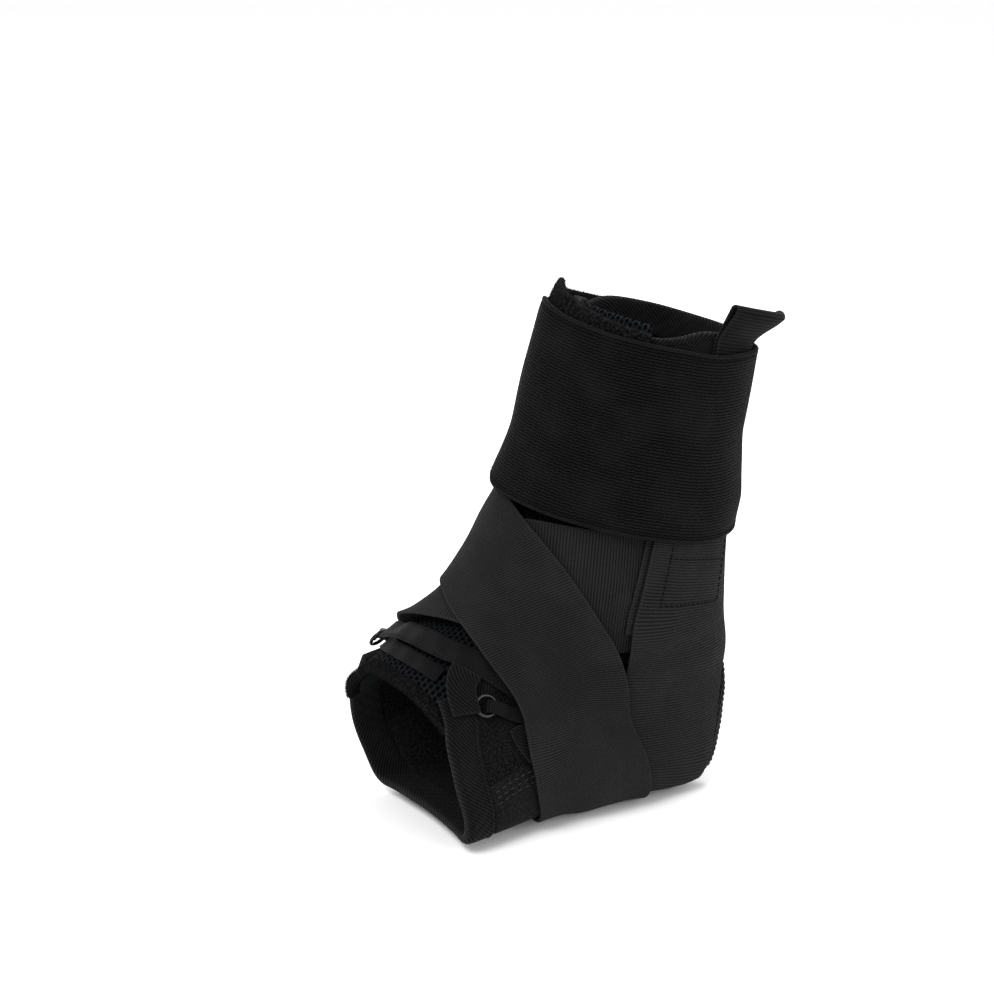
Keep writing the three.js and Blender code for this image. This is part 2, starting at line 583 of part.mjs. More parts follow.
// A keeper comes up through its ring, over the wire and down to the panel.
const KEEPER_STEP = 1.4;
const KEEPER_RISE = [[0, 0.3], [0.8, 0.6], [2, 1], [6.2, 1], [9.5, 0.1]];

function addKeeper(name, rows, ringPlace) {
  const grid = bandGrid(traced(rows), KEEPER_WIDTH, 2, false, KEEPER_STEP);
  const centre = formPoint(...ringPlace);
  const top = 2 * RING_WIRE + 2 * LAYER_GAP;
  const heights = grid.map((row) => {
    const away = formPoint(row[1].u, row[1].angle).distanceTo(centre);
    const k = Math.max(1, KEEPER_RISE.findIndex(([distance]) => distance > away));
    const [[d0, r0], [d1, r1]] = away > KEEPER_RISE.at(-1)[0] ? KEEPER_RISE.slice(-2) : KEEPER_RISE.slice(k - 1, k + 1);
    const rise = THREE.MathUtils.lerp(r0, r1, THREE.MathUtils.clamp((away - d0) / (d1 - d0), 0, 1));
    return row.map(() => PANEL_TOP + BINDING_RISE + rise * top);
  });
  addLayer(name, "satin", grid, heights, TAPE_WALL);
}

addBand("lace_return", "satin", LACE_RETURN, RETURN_WIDTH, TAPE_WALL, LAYER_GAP - TONGUE_DROP, []);
addBand("lace_tape", "satin", LACE_TAPE, TAPE_WIDTH, TAPE_WALL, TAPE_RISE,
  spotsOf("lace_return", "lacing_binding_lateral", "lacing_binding_medial", "side_panel_lateral"));
addBand("binding_end", "twill", WAD, WAD_WIDTH, WAD_WALL, PANEL_TOP + BINDING_RISE, spotsOf("lace_tape"));
addBand("lace_stay", "twill", LACE_STAY, STAY_WIDTH, TAPE_WALL, PANEL_TOP, []);
addRing("lace_ring_lateral", RING_PLACE);
addKeeper("ring_keeper_lateral", KEEPER, RING_PLACE);
addRing("lace_ring_medial", RING_PLACE_MEDIAL);
addKeeper("ring_keeper_medial", KEEPER_MEDIAL, RING_PLACE_MEDIAL);

// Wrap straps, each lying over what it crosses and over its own start

const STRAP_COLUMNS = 6;
const START_SHARE = 0.28;

// The last part of a line, of about the length given.
function tail(line, length) {
  let walked = 0;
  const from = line.findLastIndex((place, k) => {
    walked += k < line.length - 1 ? lifted(place, 0).distanceTo(lifted(line[k + 1], 0)) : 0;
    return walked > length;
  });
  return line.slice(Math.max(from, 0));
}

// A strap, with the hook strip that holds its end down under its front edge.
function addStrap(name, hookName, route, inward, under) {
  const grid = bandGrid(routed(route), STRAP_WIDTH, STRAP_COLUMNS);
  const first = draped(grid, PANEL_TOP, under);
  const start = grid.flatMap((row, i) => (i > grid.length * START_SHARE ? [] : row.map((place, j) => (
    { point: formPoint(place.u, place.angle), top: first[i][j] + STRAP_WALL }))));
  const frontEdge = grid.map((row) => row.at(inward < 0 ? -1 : 0));
  const hookMiddle = shifted(tail(frontEdge, HOOK_LENGTH), inward * (HOOK_WIDTH / 2 - HOOK_SHOW));
  const hook = bandGrid(hookMiddle, HOOK_WIDTH, 2);
  addLayer(hookName, "hook", hook, draped(hook, PANEL_TOP, [...under, ...start]), HOOK_WALL);
  const lapped = draped(grid, PANEL_TOP, [...under, ...start, ...spotsOf(hookName)]);
  const heights = grid.map((_, i) => (i > grid.length * SELF_LAP ? lapped[i] : first[i]));
  addLayer(name, "webbing", grid, heights, STRAP_WALL);
}

addStrap("inner_strap", "hook_strip_lateral", INNER_STRAP, -1, spotsOf("ring_keeper_medial"));
addStrap("outer_strap", "hook_strip_medial", OUTER_STRAP, 1,
  spotsOf("inner_strap", "hook_strip_lateral", "lace_tape", "lace_stay", "ring_keeper_lateral"));

// Pull tab: a loop of webbing, sewn on the outside behind the cuff, its fold leaning outwards

const TAB_ROWS = 6;
const TAB_STEPS = 4; // strides of each walk over the form
const TAB_LEAST_FLARE = 0.25;
const TAB_FREE = 0.5; // share of its reach above which it leans and opens
const TAB_SHARES = [0, 0.25, 0.5, 0.7, 0.85, 0.94]; // of its reach

function addTab() {
  const [u, angle] = TAB_PLACE;
  const { down, round } = formSlopes(u, angle);
  const across = round.clone().normalize();
  const up = down.clone().negate().normalize();
  const outer = [];
  const inner = [];
  const spots = [];
  for (let i = 0; i <= TAB_ROWS; i += 1) {
    const offset = (i / TAB_ROWS - 0.5) * TAB_WIDTH;
    const outwards = across.clone().multiplyScalar(Math.sign(offset) || 1);
    const foot = walk({ u, angle }, outwards, Math.abs(offset), TAB_STEPS).at(-1);
    const lean = TAB_FLARE * (TAB_LEAST_FLARE + (1 - TAB_LEAST_FLARE) * i / TAB_ROWS);
    const past = (share) => Math.max(share - TAB_FREE, 0);
    const at = (share, height) => {
      const place = walk(foot, up, Math.min(share, TAB_FREE) * TAB_REACH, TAB_STEPS)[TAB_STEPS];
      const { down: slope, normal } = formSlopes(place.u, place.angle);
      return lifted(place, PANEL_TOP).addScaledVector(slope.normalize(), -past(share) * TAB_REACH)
        .addScaledVector(normal, height + lean * smooth(past(share) / (1 - TAB_FREE)));
    };
    const loop = (share) => LAYER_GAP + TAB_LOOP * smooth(past(share) / (1 - TAB_FREE));
    const fold = TAB_WALL + loop(1) / 2;
    const tip = 1 - TAB_WALL / TAB_REACH;
    outer.push([...TAB_SHARES.map((share) => at(share, 2 * TAB_WALL + loop(share))), at(1, fold),
      ...TAB_SHARES.map((share) => at(share, 0)).reverse()]);
    inner.push([...TAB_SHARES.map((share) => at(share, TAB_WALL + loop(share))), at(tip, fold),
      ...TAB_SHARES.map((share) => at(share, TAB_WALL)).reverse()]);
    spots.push(...walk(foot, up, TAB_REACH * TAB_FREE, TAB_STEPS).map((place) => (
      { point: formPoint(place.u, place.angle), top: PANEL_TOP + 2 * TAB_WALL + LAYER_GAP })));
  }
  covers.pull_tab = spots;
  addMesh("pull_tab", "webbing", body(outer, inner));
}

addTab();

// Cuff, and the plush underwrap that stands above its edge

const CUFF_COLUMNS = 6;
const UNDERWRAP_COLUMNS = [3, 4]; // strides up to its top and down its height
const CUFF_START = 1 / 4; // share of its length that may lie under its end
const CUFF_END = 1 / 2; // and past which it lies on its start

function cuffGrid() {
  const foot = traced(CUFF_FOOT);
  const first = foot[0].angle;
  const last = foot.findIndex(({ angle }) => angle > first + 360 + CUFF_OVERLAP);
  return spaced(foot.slice(0, last)).map((place) => {
    const up = formSlopes(place.u, place.angle).down.negate().normalize();
    return walk(place, up, CUFF_HEIGHT, CUFF_COLUMNS);
  });
}

function underwrapGrid(cuff) {
  const edge = cuff.map((row) => row.at(-1));
  const inSpan = edge.filter(({ angle }) => angle > UNDERWRAP_SPAN[0] && angle < UNDERWRAP_SPAN[1]);
  return inSpan.map((place) => {
    const k = Math.max(1, UNDERWRAP_EDGE.findIndex(([angle]) => angle > place.angle));
    const [[a0, s0], [a1, s1]] = [UNDERWRAP_EDGE[k - 1], UNDERWRAP_EDGE[k]];
    const show = UNDERWRAP_SHOW * (1 + THREE.MathUtils.mapLinear(place.angle, a0, a1, s0, s1));
    const down = formSlopes(place.u, place.angle).down.normalize();
    const [rise, fall] = UNDERWRAP_COLUMNS;
    const top = walk(place, down.clone().negate(), show, rise)[rise];
    return walk(top, down, UNDERWRAP_HEIGHT, fall).reverse();
  });
}

const cuff = cuffGrid();
const underwrap = underwrapGrid(cuff);
addLayer("underwrap", "plush", underwrap, flat(underwrap, PANEL_TOP), UNDERWRAP_WALL);

function addCuff() {
  const under = spotsOf("inner_strap", "outer_strap", "hook_strip_lateral", "hook_strip_medial", "underwrap", "pull_tab");
  const base = PANEL_TOP + CUFF_EASE;
  const first = draped(cuff, base, under, CUFF_RAMP);
  const start = cuff.flatMap((row, i) => (i > cuff.length * CUFF_START ? [] : row.map((place, j) => (
    { point: formPoint(place.u, place.angle), top: first[i][j] + CUFF_WALL }))));
  const lapped = draped(cuff, base, [...under, ...start], DRAPE_RAMP);
  const heights = cuff.map((_, i) => (i > cuff.length * CUFF_END ? lapped[i] : first[i]));
  addLayer("cuff", "elastic", cuff, heights, CUFF_WALL);
}

addCuff();

export default brace;
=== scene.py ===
# Ankle brace for a left foot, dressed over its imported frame. Lengths are in millimetres on the
# form and in metres in Blender. Toes point to -Y, the lateral side to +X.
import math
from functools import partial

import bpy
import numpy as np
from mathutils import Matrix, Vector


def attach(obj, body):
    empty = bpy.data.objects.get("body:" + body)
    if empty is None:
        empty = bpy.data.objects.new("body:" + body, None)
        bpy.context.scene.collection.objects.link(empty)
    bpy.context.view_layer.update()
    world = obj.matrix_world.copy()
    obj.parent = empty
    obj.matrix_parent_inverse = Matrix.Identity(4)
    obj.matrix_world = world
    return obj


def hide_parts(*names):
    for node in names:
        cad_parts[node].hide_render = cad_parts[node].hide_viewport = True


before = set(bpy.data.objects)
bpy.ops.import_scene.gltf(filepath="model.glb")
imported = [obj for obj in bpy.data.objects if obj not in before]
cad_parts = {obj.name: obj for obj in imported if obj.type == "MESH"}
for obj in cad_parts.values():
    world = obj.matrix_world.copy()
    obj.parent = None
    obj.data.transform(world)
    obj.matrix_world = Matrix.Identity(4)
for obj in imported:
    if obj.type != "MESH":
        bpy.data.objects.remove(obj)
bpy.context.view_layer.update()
print("stage: frame loaded")

# The form that the cloth follows
form = {
    "height": 213, "length": 166, "ankle": 74, "soleHeight": 7.64, "soleBlend": 5,
    "crestSpread": 15, "crestAngle": -7,
    # reach and rise of the front and rear points, half widths, shift, ridge, crest, squareness
    "sections": [
        [0.0, 1.0, 0.404, 0.906, 0.459, 0.459, 0, 0, 0.03, 2.15],
        [-0.034, 0.948, 0.383, 0.854, 0.459, 0.459, 0, 0, 0.03, 2.15],
        [-0.102, 0.786, 0.349, 0.681, 0.486, 0.473, 0, 0, 0.025, 2.15],
        [-0.169, 0.634, 0.319, 0.507, 0.5, 0.5, 0, -0.014, 0.02, 2.2],
        [-0.219, 0.535, 0.31, 0.347, 0.527, 0.514, 0, -0.041, 0.01, 2.3],
        [-0.272, 0.474, 0.352, 0.169, 0.514, 0.5, 0, -0.068, 0, 2.4],
        [-0.333, 0.427, 0.292, -0.019, 0.486, 0.486, 0, -0.081, 0, 2.45],
        [-0.416, 0.39, 0.048, 0.005, 0.5, 0.5, 0.014, -0.095, 0, 2.35],
        [-0.5, 0.352, -0.181, -0.005, 0.527, 0.514, 0.014, -0.108, 0, 2.3],
        [-0.578, 0.31, -0.373, -0.033, 0.554, 0.527, 0.014, -0.108, 0, 2.3],
        [-0.657, 0.263, -0.554, -0.038, 0.581, 0.554, 0, -0.108, 0, 2.3],
    ],
}
walls = {
    "panel": 3, "tongue": 4, "tongueDrop": 1.6, "bindingTuck": 1.1, "bindingRise": 0.5, "strap": 1.6,
    "hook": 0.9, "underwrap": 2.8, "cuff": 2, "cuffEase": 1.3, "tape": 1, "gap": 0.72, "seam": 0.8,
    "sewn": -0.3, "lap": 1.1, "lapRise": 0.4,
}
traceScale = [1, 30]  # one section counts as much as 30 degrees when a line is traced
longestStride = 2.5
fullTurn = 6.2832
edgeRound = 0.46  # of a wall
spacing = {  # between a sheet's stations, and the rounded lip along its edges
    "panel": (1.6, 0.8), "binding": (1.2, 1.2), "mesh": (0.6, 0.8), "edge": (0.8, 0.8), "tape": (0.7, 0.5),
    "keeper": (0.5, 0.4), "strap": (1.3, 0.6), "hook": (1.2, 0.8), "tab": (1, 0.5), "cuff": (1.3, 0.8),
    "wrapLength": (1, 1), "wrapWidth": (1, 1.4),
}
swells = {  # size, length and seed of the slow waves in a cloth
    "panel": (0.12, 30, 3), "binding": (0.12, 9, 2), "edge": (0.3, 6, 8), "tape": (0.35, 9, 4),
    "strap": (0.14, 40, 5), "underwrap": (0.3, 9, 11), "cuff": (0.45, 34, 17),
}
slots = {  # where a look goes by another look's slot
    "knit": "elastic", "pile": "plush", "innerWebbing": "webbing", "outerWebbing": "webbing",
}
panelTop = walls["panel"] + walls["gap"]
formRows = np.array(form["sections"], float)


def formPoint(u, v):
    u, v = np.asarray(u, float), np.asarray(v, float)
    last = len(formRows) - 1
    i = np.clip(np.floor(u).astype(int), 0, last - 1)
    t = (u - i)[..., None]
    a, b = formRows[i], formRows[i + 1]
    before, after = formRows[np.maximum(i - 1, 0)], formRows[np.minimum(i + 2, last)]
    slopeA = np.where((i == 0)[..., None], b - a, (b - before) / 2)
    slopeB = np.where((i == last - 1)[..., None], b - a, (after - a) / 2)
    row = ((2 * t ** 3 - 3 * t ** 2 + 1) * a + (t ** 3 - 2 * t ** 2 + t) * slopeA
           + (3 * t ** 2 - 2 * t ** 3) * b + (t ** 3 - t ** 2) * slopeB)
    (frontReach, frontRise, rearReach, rearRise, lateral, medial, shift, ridge, crestSize,
     square) = np.moveaxis(row, -1, 0)
    c, s = np.cos(np.radians(v)), np.sin(np.radians(v))
    swell = (np.abs(c) ** square + np.abs(s) ** square) ** (-1 / square)
    turn = (v - form["crestAngle"] + 180) % 360 - 180
    crest = crestSize * form["ankle"] * np.exp(-((turn / form["crestSpread"]) ** 2))
    forward = (1 + swell * c) / 2
    width = form["ankle"] * ((lateral + medial) / 2 + (lateral - medial) / 2 * s)
    x = form["ankle"] * (shift + ridge * forward) + width * swell * s
    frontY = frontReach * form["length"] - crest
    rearY = rearReach * form["length"]
    y = rearY + (frontY - rearY) * forward
    z = form["height"] * (rearRise + (frontRise - rearRise) * forward)
    blend = form["soleBlend"]
    over = np.clip(z - form["soleHeight"], -blend, blend)
    return np.stack([x, y, np.maximum(z, form["soleHeight"] + (over + blend) ** 2 / (4 * blend))], -1)


def unit(a):
    return a / np.maximum(np.linalg.norm(a, axis=-1, keepdims=True), 1e-12)


def formSlopes(u, v, stepU=0.01, stepV=0.3):
    # Slopes down the form and around it, and the direction out of it.
    down = (formPoint(u + stepU, v) - formPoint(u - stepU, v)) / (2 * stepU)
    around = (formPoint(u, v + stepV) - formPoint(u, v - stepV)) / (2 * stepV)
    return down, around, unit(np.cross(down, around))


def lifted(places, height):
    u, v = places[..., 0], places[..., 1]
    return formPoint(u, v) + formSlopes(u, v)[2] * np.asarray(height)[..., None]


def stride(places, heading, distance):
    # One straight step over the form, as (heading, change of place).
    down, around, normal = formSlopes(places[..., 0], places[..., 1])
    travel = unit(heading - (heading * normal).sum(-1, keepdims=True) * normal)
    aa, ab, bb = (down * down).sum(-1), (down * around).sum(-1), (around * around).sum(-1)
    a, b = (travel * down).sum(-1) * distance, (travel * around).sum(-1) * distance
    scale = aa * bb - ab * ab
    return travel, np.stack([(a * bb - b * ab) / scale, (b * aa - a * ab) / scale], -1)


def marched(places, heading, distances):
    # Places at several distances along one heading, as an array (distance, place, 2).
    found, walked = [], 0
    for distance in distances:
        steps = max(1, math.ceil((distance - walked) / longestStride))
        for _ in range(steps):
            size = (distance - walked) / steps
            first = stride(places, heading, size / 2)
            whole = stride(places + first[1], first[0], size)
            places, heading = places + whole[1], whole[0]
        walked = distance
        found.append(places)
    return np.array(found)


def walk(places, direction, distance):
    return marched(places, direction * (1 if distance >= 0 else -1), [abs(distance)])[0]


def traced(rows, closed=False, samples=160):
    # A smooth line through the rows' places.
    points = np.array(rows, float) / traceScale
    count = len(points)
    line = []
    for k in range(samples if closed else samples + 1):
        p = (count if closed else count - 1) * k / samples
        i, w = int(p), p - int(p)
        if not closed and i == count - 1:
            i, w = count - 2, 1
        p1, p2 = points[i % count], points[(i + 1) % count]
        p0 = points[(i - 1) % count] if closed or i > 0 else 2 * points[0] - points[1]
        p3 = points[(i + 2) % count] if closed or i + 2 < count else 2 * points[-1] - points[-2]
        spans = ((p0, p1), (p1, p2), (p2, p3))
        d0, d1, d2 = [max(float(((q - r) ** 2).sum()) ** 0.25, 1e-6) for q, r in spans]
        t1 = ((p1 - p0) / d0 - (p2 - p0) / (d0 + d1) + (p2 - p1) / d1) * d1
        t2 = ((p2 - p1) / d1 - (p3 - p1) / (d1 + d2) + (p3 - p2) / d2) * d1
        line.append(p1 + t1 * w + (3 * (p2 - p1) - 2 * t1 - t2) * w ** 2
                    + (2 * (p1 - p2) + t1 + t2) * w ** 3)
    return np.array(line) * traceScale


def mirrored(rows):
    return [[u, 360 - v] for u, v in rows]


def sides(line, closed=False):
    ahead = np.roll(line, -1, 0) if closed else np.vstack([line[1:], line[-1:]])
    behind = np.roll(line, 1, 0) if closed else np.vstack([line[:1], line[:-1]])
    travel = unit(formPoint(*ahead.T) - formPoint(*behind.T))
    return unit(np.cross(formSlopes(*line.T)[2], travel))


def shifted(line, distance, closed=False):
    return walk(line, sides(line, closed), distance)


def crossing(lineA, lineB):
    # Where two lines first cross, as an index along each.
    p, a = lineA[:-1, None], (lineA[1:] - lineA[:-1])[:, None]
    r, b = lineB[None, :-1], (lineB[1:] - lineB[:-1])[None]
    area = a[..., 0] * b[..., 1] - a[..., 1] * b[..., 0]
    area = np.where(np.abs(area) < 1e-12, 1e-12, area)
    gap = r - p
    s = (gap[..., 0] * b[..., 1] - gap[..., 1] * b[..., 0]) / area
    t = (gap[..., 0] * a[..., 1] - gap[..., 1] * a[..., 0]) / area
    i, k = np.argwhere((s >= 0) & (s <= 1) & (t >= 0) & (t <= 1))[0]
    return i + s[i, k], k + t[i, k]


def placeOn(line, index):
    i = min(int(index), len(line) - 2)
    return line[i] + (line[i + 1] - line[i]) * (index - i)


def stretch(line, start, end):
    inner = line[int(min(start, end)) + 1:math.ceil(max(start, end))]
    inner = inner[::-1] if start > end else inner
    return np.vstack([placeOn(line, start), inner, placeOn(line, end)])


def trimmedBetween(line, first, second):
    return stretch(line, crossing(line, first)[0], crossing(line, second)[0])


def lengthsOf(line):
    steps = np.linalg.norm(np.diff(formPoint(*line.T), axis=0), axis=1)
    return np.concatenate([[0], np.cumsum(steps)])


def along(line, distances):
    walked = lengthsOf(line)
    return np.stack([np.interp(distances, walked, line[:, k]) for k in (0, 1)], -1)


def smooth(x):
    x = np.clip(x, 0, 1)
    return x * x * (3 - 2 * x)


def routed(rows, passes=60):
    # A strap's route, evened out as a pulled strap is.
    line = traced(rows)
    for _ in range(passes):
        line[1:-1] = (line[:-2] + 2 * line[1:-1] + line[2:]) / 4
    return line


def edged(length, kind):
    # Stations along a length, closer together within a lip of each end so that edges are round.
    step, lip = spacing[kind]
    inner = np.linspace(lip, length - lip, max(2, round((length - 2 * lip) / step) + 1))
    start = np.array([0, 0.15, 0.5]) * lip
    return np.concatenate([start, inner, length - start[::-1]])


# Sheets of cloth: grids of places on the form, with their lengths along and across
def bandCloth(line, width, kind, closed=False):
    step = spacing[kind][0]
    if closed:
        line = np.vstack([line, line[:1]])
        line[:, 1] = np.degrees(np.unwrap(np.radians(line[:, 1])))
    length = lengthsOf(line)[-1]
    u = np.linspace(0, length, round(length / step) + 1) if closed else edged(length, kind)
    stations = along(line, u)
    side = sides(stations)
    v = edged(width, kind) - width / 2
    left = marched(stations, side, v[v > 0])
    right = marched(stations, -side, -v[v < 0][::-1])[::-1]
    middle = [stations[None]] if (v == 0).any() else []
    grid = np.concatenate([right, *middle, left]).transpose(1, 0, 2)
    return {"grid": grid, "u": u, "v": v + width / 2, "closed": closed}


def evenly(line, shares):
    walked = lengthsOf(line)
    return along(line, shares * walked[-1])


def patchCloth(top, bottom, left, right, kind="panel"):
    # A sheet stretched between four edge lines.
    high = (lengthsOf(left)[-1] + lengthsOf(right)[-1]) / 2
    wide = (lengthsOf(top)[-1] + lengthsOf(bottom)[-1]) / 2
    u, v = edged(high, kind), edged(wide, kind)
    t, s = (u / high)[:, None, None], (v / wide)[None, :, None]
    a, b = evenly(top, v / wide)[None], evenly(bottom, v / wide)[None]
    c, d = evenly(left, u / high)[:, None], evenly(right, u / high)[:, None]
    corners = ((1 - s) * (1 - t) * a[:, :1] + s * (1 - t) * a[:, -1:]
               + (1 - s) * t * b[:, :1] + s * t * b[:, -1:])
    return {"grid": (1 - t) * a + t * b + (1 - s) * c + s * d - corners, "u": u, "v": v, "closed": False}


def patchBetween(top, bottom, left, right, kind="panel"):
    return patchCloth(trimmedBetween(top, left, right), trimmedBetween(bottom, left, right),
                      trimmedBetween(left, top, bottom), trimmedBetween(right, top, bottom), kind)


def flat(cloth, height):
    return np.full(cloth["grid"].shape[:2], float(height))


def draped(cloth, base, under, ramp=14, reach=4, batch=2000):
    # Heights at which a cloth clears what lies under it, with a ramp down past the edges of that.
    points = formPoint(cloth["grid"][..., 0], cloth["grid"][..., 1]).reshape(-1, 3)
    heights = np.full(len(points), float(base))
    for spots, tops in under:
        for k in range(0, len(points), batch):
            some = slice(k, k + batch)
            away = np.linalg.norm(points[some, None] - spots[None], axis=2)
            fall = 1 - smooth((away - reach) / ramp)
            raised = (base + (tops[None] + walls["gap"] - base) * fall).max(1)
            heights[some] = np.maximum(heights[some], raised)
    return heights.reshape(cloth["grid"].shape[:2])


covers = {}  # for each piece, spots under its face and how high its face is


def spotsFrom(cloth, tops, part=slice(None)):
    grid, tops = cloth["grid"][part][::3, ::3], tops[part][::3, ::3]
    return formPoint(grid[..., 0], grid[..., 1]).reshape(-1, 3), tops.reshape(-1)


def softened(heights, passes=14):
    # Cloth under tension spans small steps.
    for _ in range(passes):
        wide = np.pad(heights, 1, mode="edge")
        beside = wide[:-2, 1:-1] + wide[2:, 1:-1] + wide[1:-1, :-2] + wide[1:-1, 2:]
        heights = (beside + 4 * wide[1:-1, 1:-1]) / 8
    return heights


def gentle(cloth, kind, waves=4):
    # Slow swells of cloth that was handled: a few waves across each other.
    size, wave, seed = swells[kind]
    random = np.random.default_rng(seed)
    u, v = cloth["u"][:, None], cloth["v"][None]
    total = 0
    for _ in range(waves):
        turn, phase = random.uniform(0, 6.28), random.uniform(0, 6.28)
        length = wave * random.uniform(0.7, 1.5)
        total = total + np.sin((u * math.cos(turn) + v * math.sin(turn)) * 6.283 / length + phase)
    return size * total / waves


def creased(cloth, creases):
    # Each crease: (along, across) at both ends, depth outwards and half width, in millimetres.
    u, v = np.meshgrid(cloth["u"], cloth["v"], indexing="ij")
    total = np.zeros(u.shape)
    for u0, v0, u1, v1, depth, width in creases:
        du, dv = u1 - u0, v1 - v0
        t = ((u - u0) * du + (v - v0) * dv) / (du * du + dv * dv)
        away = np.hypot(u - u0 - np.clip(t, 0, 1) * du, v - v0 - np.clip(t, 0, 1) * dv)
        total += depth * np.exp(-((away / width) ** 2))
    return total


# Meshes
def meshFrom(name, points, faces, uv, edges, material, extra=None):
    corners = points[faces]
    volume = (corners[:, 0] * np.cross(corners[:, 1], corners[:, 2])).sum()
    volume += (corners[:, 0] * np.cross(corners[:, 2], corners[:, 3])).sum()
    if volume < 0:
        faces, uv = faces[:, ::-1], uv[:, ::-1]
    mesh = bpy.data.meshes.new(name)
    mesh.from_pydata((points / 1000).tolist(), [], faces.tolist())
    mesh.uv_layers.new(name="cloth").data.foreach_set("uv", np.ascontiguousarray(uv, float).reshape(-1))
    mesh.uv_layers.new(name="edge").data.foreach_set("uv", edges[faces].astype(float).reshape(-1))
    if extra is not None:
        mesh.attributes.new("hole", "FLOAT", "POINT").data.foreach_set("value", extra)
    mesh.polygons.foreach_set("use_smooth", np.ones(len(faces), bool))
    mesh.materials.append(material)
    made = bpy.data.objects.new(name, mesh)
    bpy.context.scene.collection.objects.link(made)
    return made


pieces = {}  # by CAD name: the object, its outer face and its lengths


def wallFaces(u, v, closed=False):
    # Quads of a wall's outer face, inner face and rim, and the lengths at each of their corners.
    rows, columns = len(u), len(v)
    count = rows - 1 if closed else rows
    stations = np.meshgrid(np.arange(rows - 1), np.arange(columns - 1), indexing="ij")
    i, j = [numbers.reshape(-1) for numbers in stations]

    def quads(corners, layers):
        index = [(layer * count + row % count) * columns + column
                 for (row, column), layer in zip(corners, layers)]
        lengths = [np.stack([u[row], v[column]], -1) for row, column in corners]
        return np.stack(index, -1), np.stack(lengths, 1)

    face = [(i, j), (i + 1, j), (i + 1, j + 1), (i, j + 1)]
    parts = [quads(face, [0] * 4), quads(face[::-1], [1] * 4)]
    k = np.arange(rows - 1)
    for column, a, b in ((0, 1, 0), (columns - 1, 0, 1)):
        rim = np.full(rows - 1, column)
        parts.append(quads([(k + a, rim), (k + b, rim), (k + b, rim), (k + a, rim)], [0, 0, 1, 1]))
    if not closed:
        k = np.arange(columns - 1)
        for row, a, b in ((0, 0, 1), (rows - 1, 1, 0)):
            rim = np.full(columns - 1, row)
            parts.append(quads([(rim, k + a), (rim, k + b), (rim, k + b), (rim, k + a)], [0, 0, 1, 1]))
    return [np.concatenate(part) for part in zip(*parts)]


def sew(node, cloth, heights, wall, look, dimple=None):
    # Makes the closed piece that stands for a CAD node: outer and inner face with rounded edges.
    grid, u, v, closed = cloth["grid"], cloth["u"], cloth["v"], cloth["closed"]
    rows, columns = grid.shape[:2]
    far = np.full((rows, columns), 99.0)
    sideAway = np.minimum(v, v[-1] - v)[None] + np.zeros((rows, 1))
    endAway = far if closed else np.minimum(u, u[-1] - u)[:, None] + np.zeros((1, columns))
    radius = edgeRound * wall
    nearest = np.clip(np.minimum(sideAway, endAway) / radius, 0, 1)
    inset = radius * (1 - np.sqrt(1 - (1 - nearest) ** 2))
    hole = np.zeros((rows, columns)) if dimple is None else dimple
    cut = slice(0, rows - 1) if closed else slice(0, rows)
    outer = lifted(grid, heights + wall - inset - hole)[cut]
    inner = lifted(grid, heights + inset)[cut]
    points = np.concatenate([outer.reshape(-1, 3), inner.reshape(-1, 3)])
    edges = np.stack([sideAway[cut], endAway[cut]], -1).reshape(-1, 2)
    faces, uv = wallFaces(u, v, closed)
    # The dimples' depth goes to the shader, which paints shade into the holes.
    extra = None if dimple is None else np.concatenate([hole.reshape(-1), np.zeros(hole.size)])
    edges = np.vstack([edges, edges])
    made = meshFrom(node + "_cloth", points, faces, uv, edges, materials[look], extra)
    placed(made, slots.get(look, look), node)
    tops = heights + wall
    covers[node] = spotsFrom(cloth, tops)
    pieces[node] = {"object": made, "cloth": cloth, "tops": tops}


def placed(made, slot, *nodes):
    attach(made, "root")
    if nodes:
        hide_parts(*nodes)


# Node helpers and the groups that the materials share
number, vector = "NodeSocketFloat", "NodeSocketVector"
geometry, paintKind = "NodeSocketGeometry", "NodeSocketMaterial"


def fill(tree, node, sockets):
    # Sets or links a node's inputs, by name or number.
    for label, value in sockets.items():
        if isinstance(value, bpy.types.NodeSocket):
            tree.links.new(value, node.inputs[label])
        else:
            node.inputs[label].default_value = value


def newNode(tree, kind, sockets, **settings):
    node = tree.nodes.new(kind)
    for key, value in settings.items():
        setattr(node, key, value)
    fill(tree, node, sockets)
    return node.outputs


def mathNode(tree, operation, *values):
    return newNode(tree, "ShaderNodeMath", dict(enumerate(values)), operation=operation)[0]


def newGroup(name, inputs, outputs, kind="ShaderNodeTree"):
    group = bpy.data.node_groups.new(name, kind)
    for label, socketKind in outputs:
        group.interface.new_socket(label, in_out="OUTPUT", socket_type=socketKind)
    for label, socketKind, value in inputs:
        socket = group.interface.new_socket(label, in_out="INPUT", socket_type=socketKind)
        if value is not None:
            socket.default_value = value
    return group, group.nodes.new("NodeGroupInput").outputs, group.nodes.new("NodeGroupOutput")


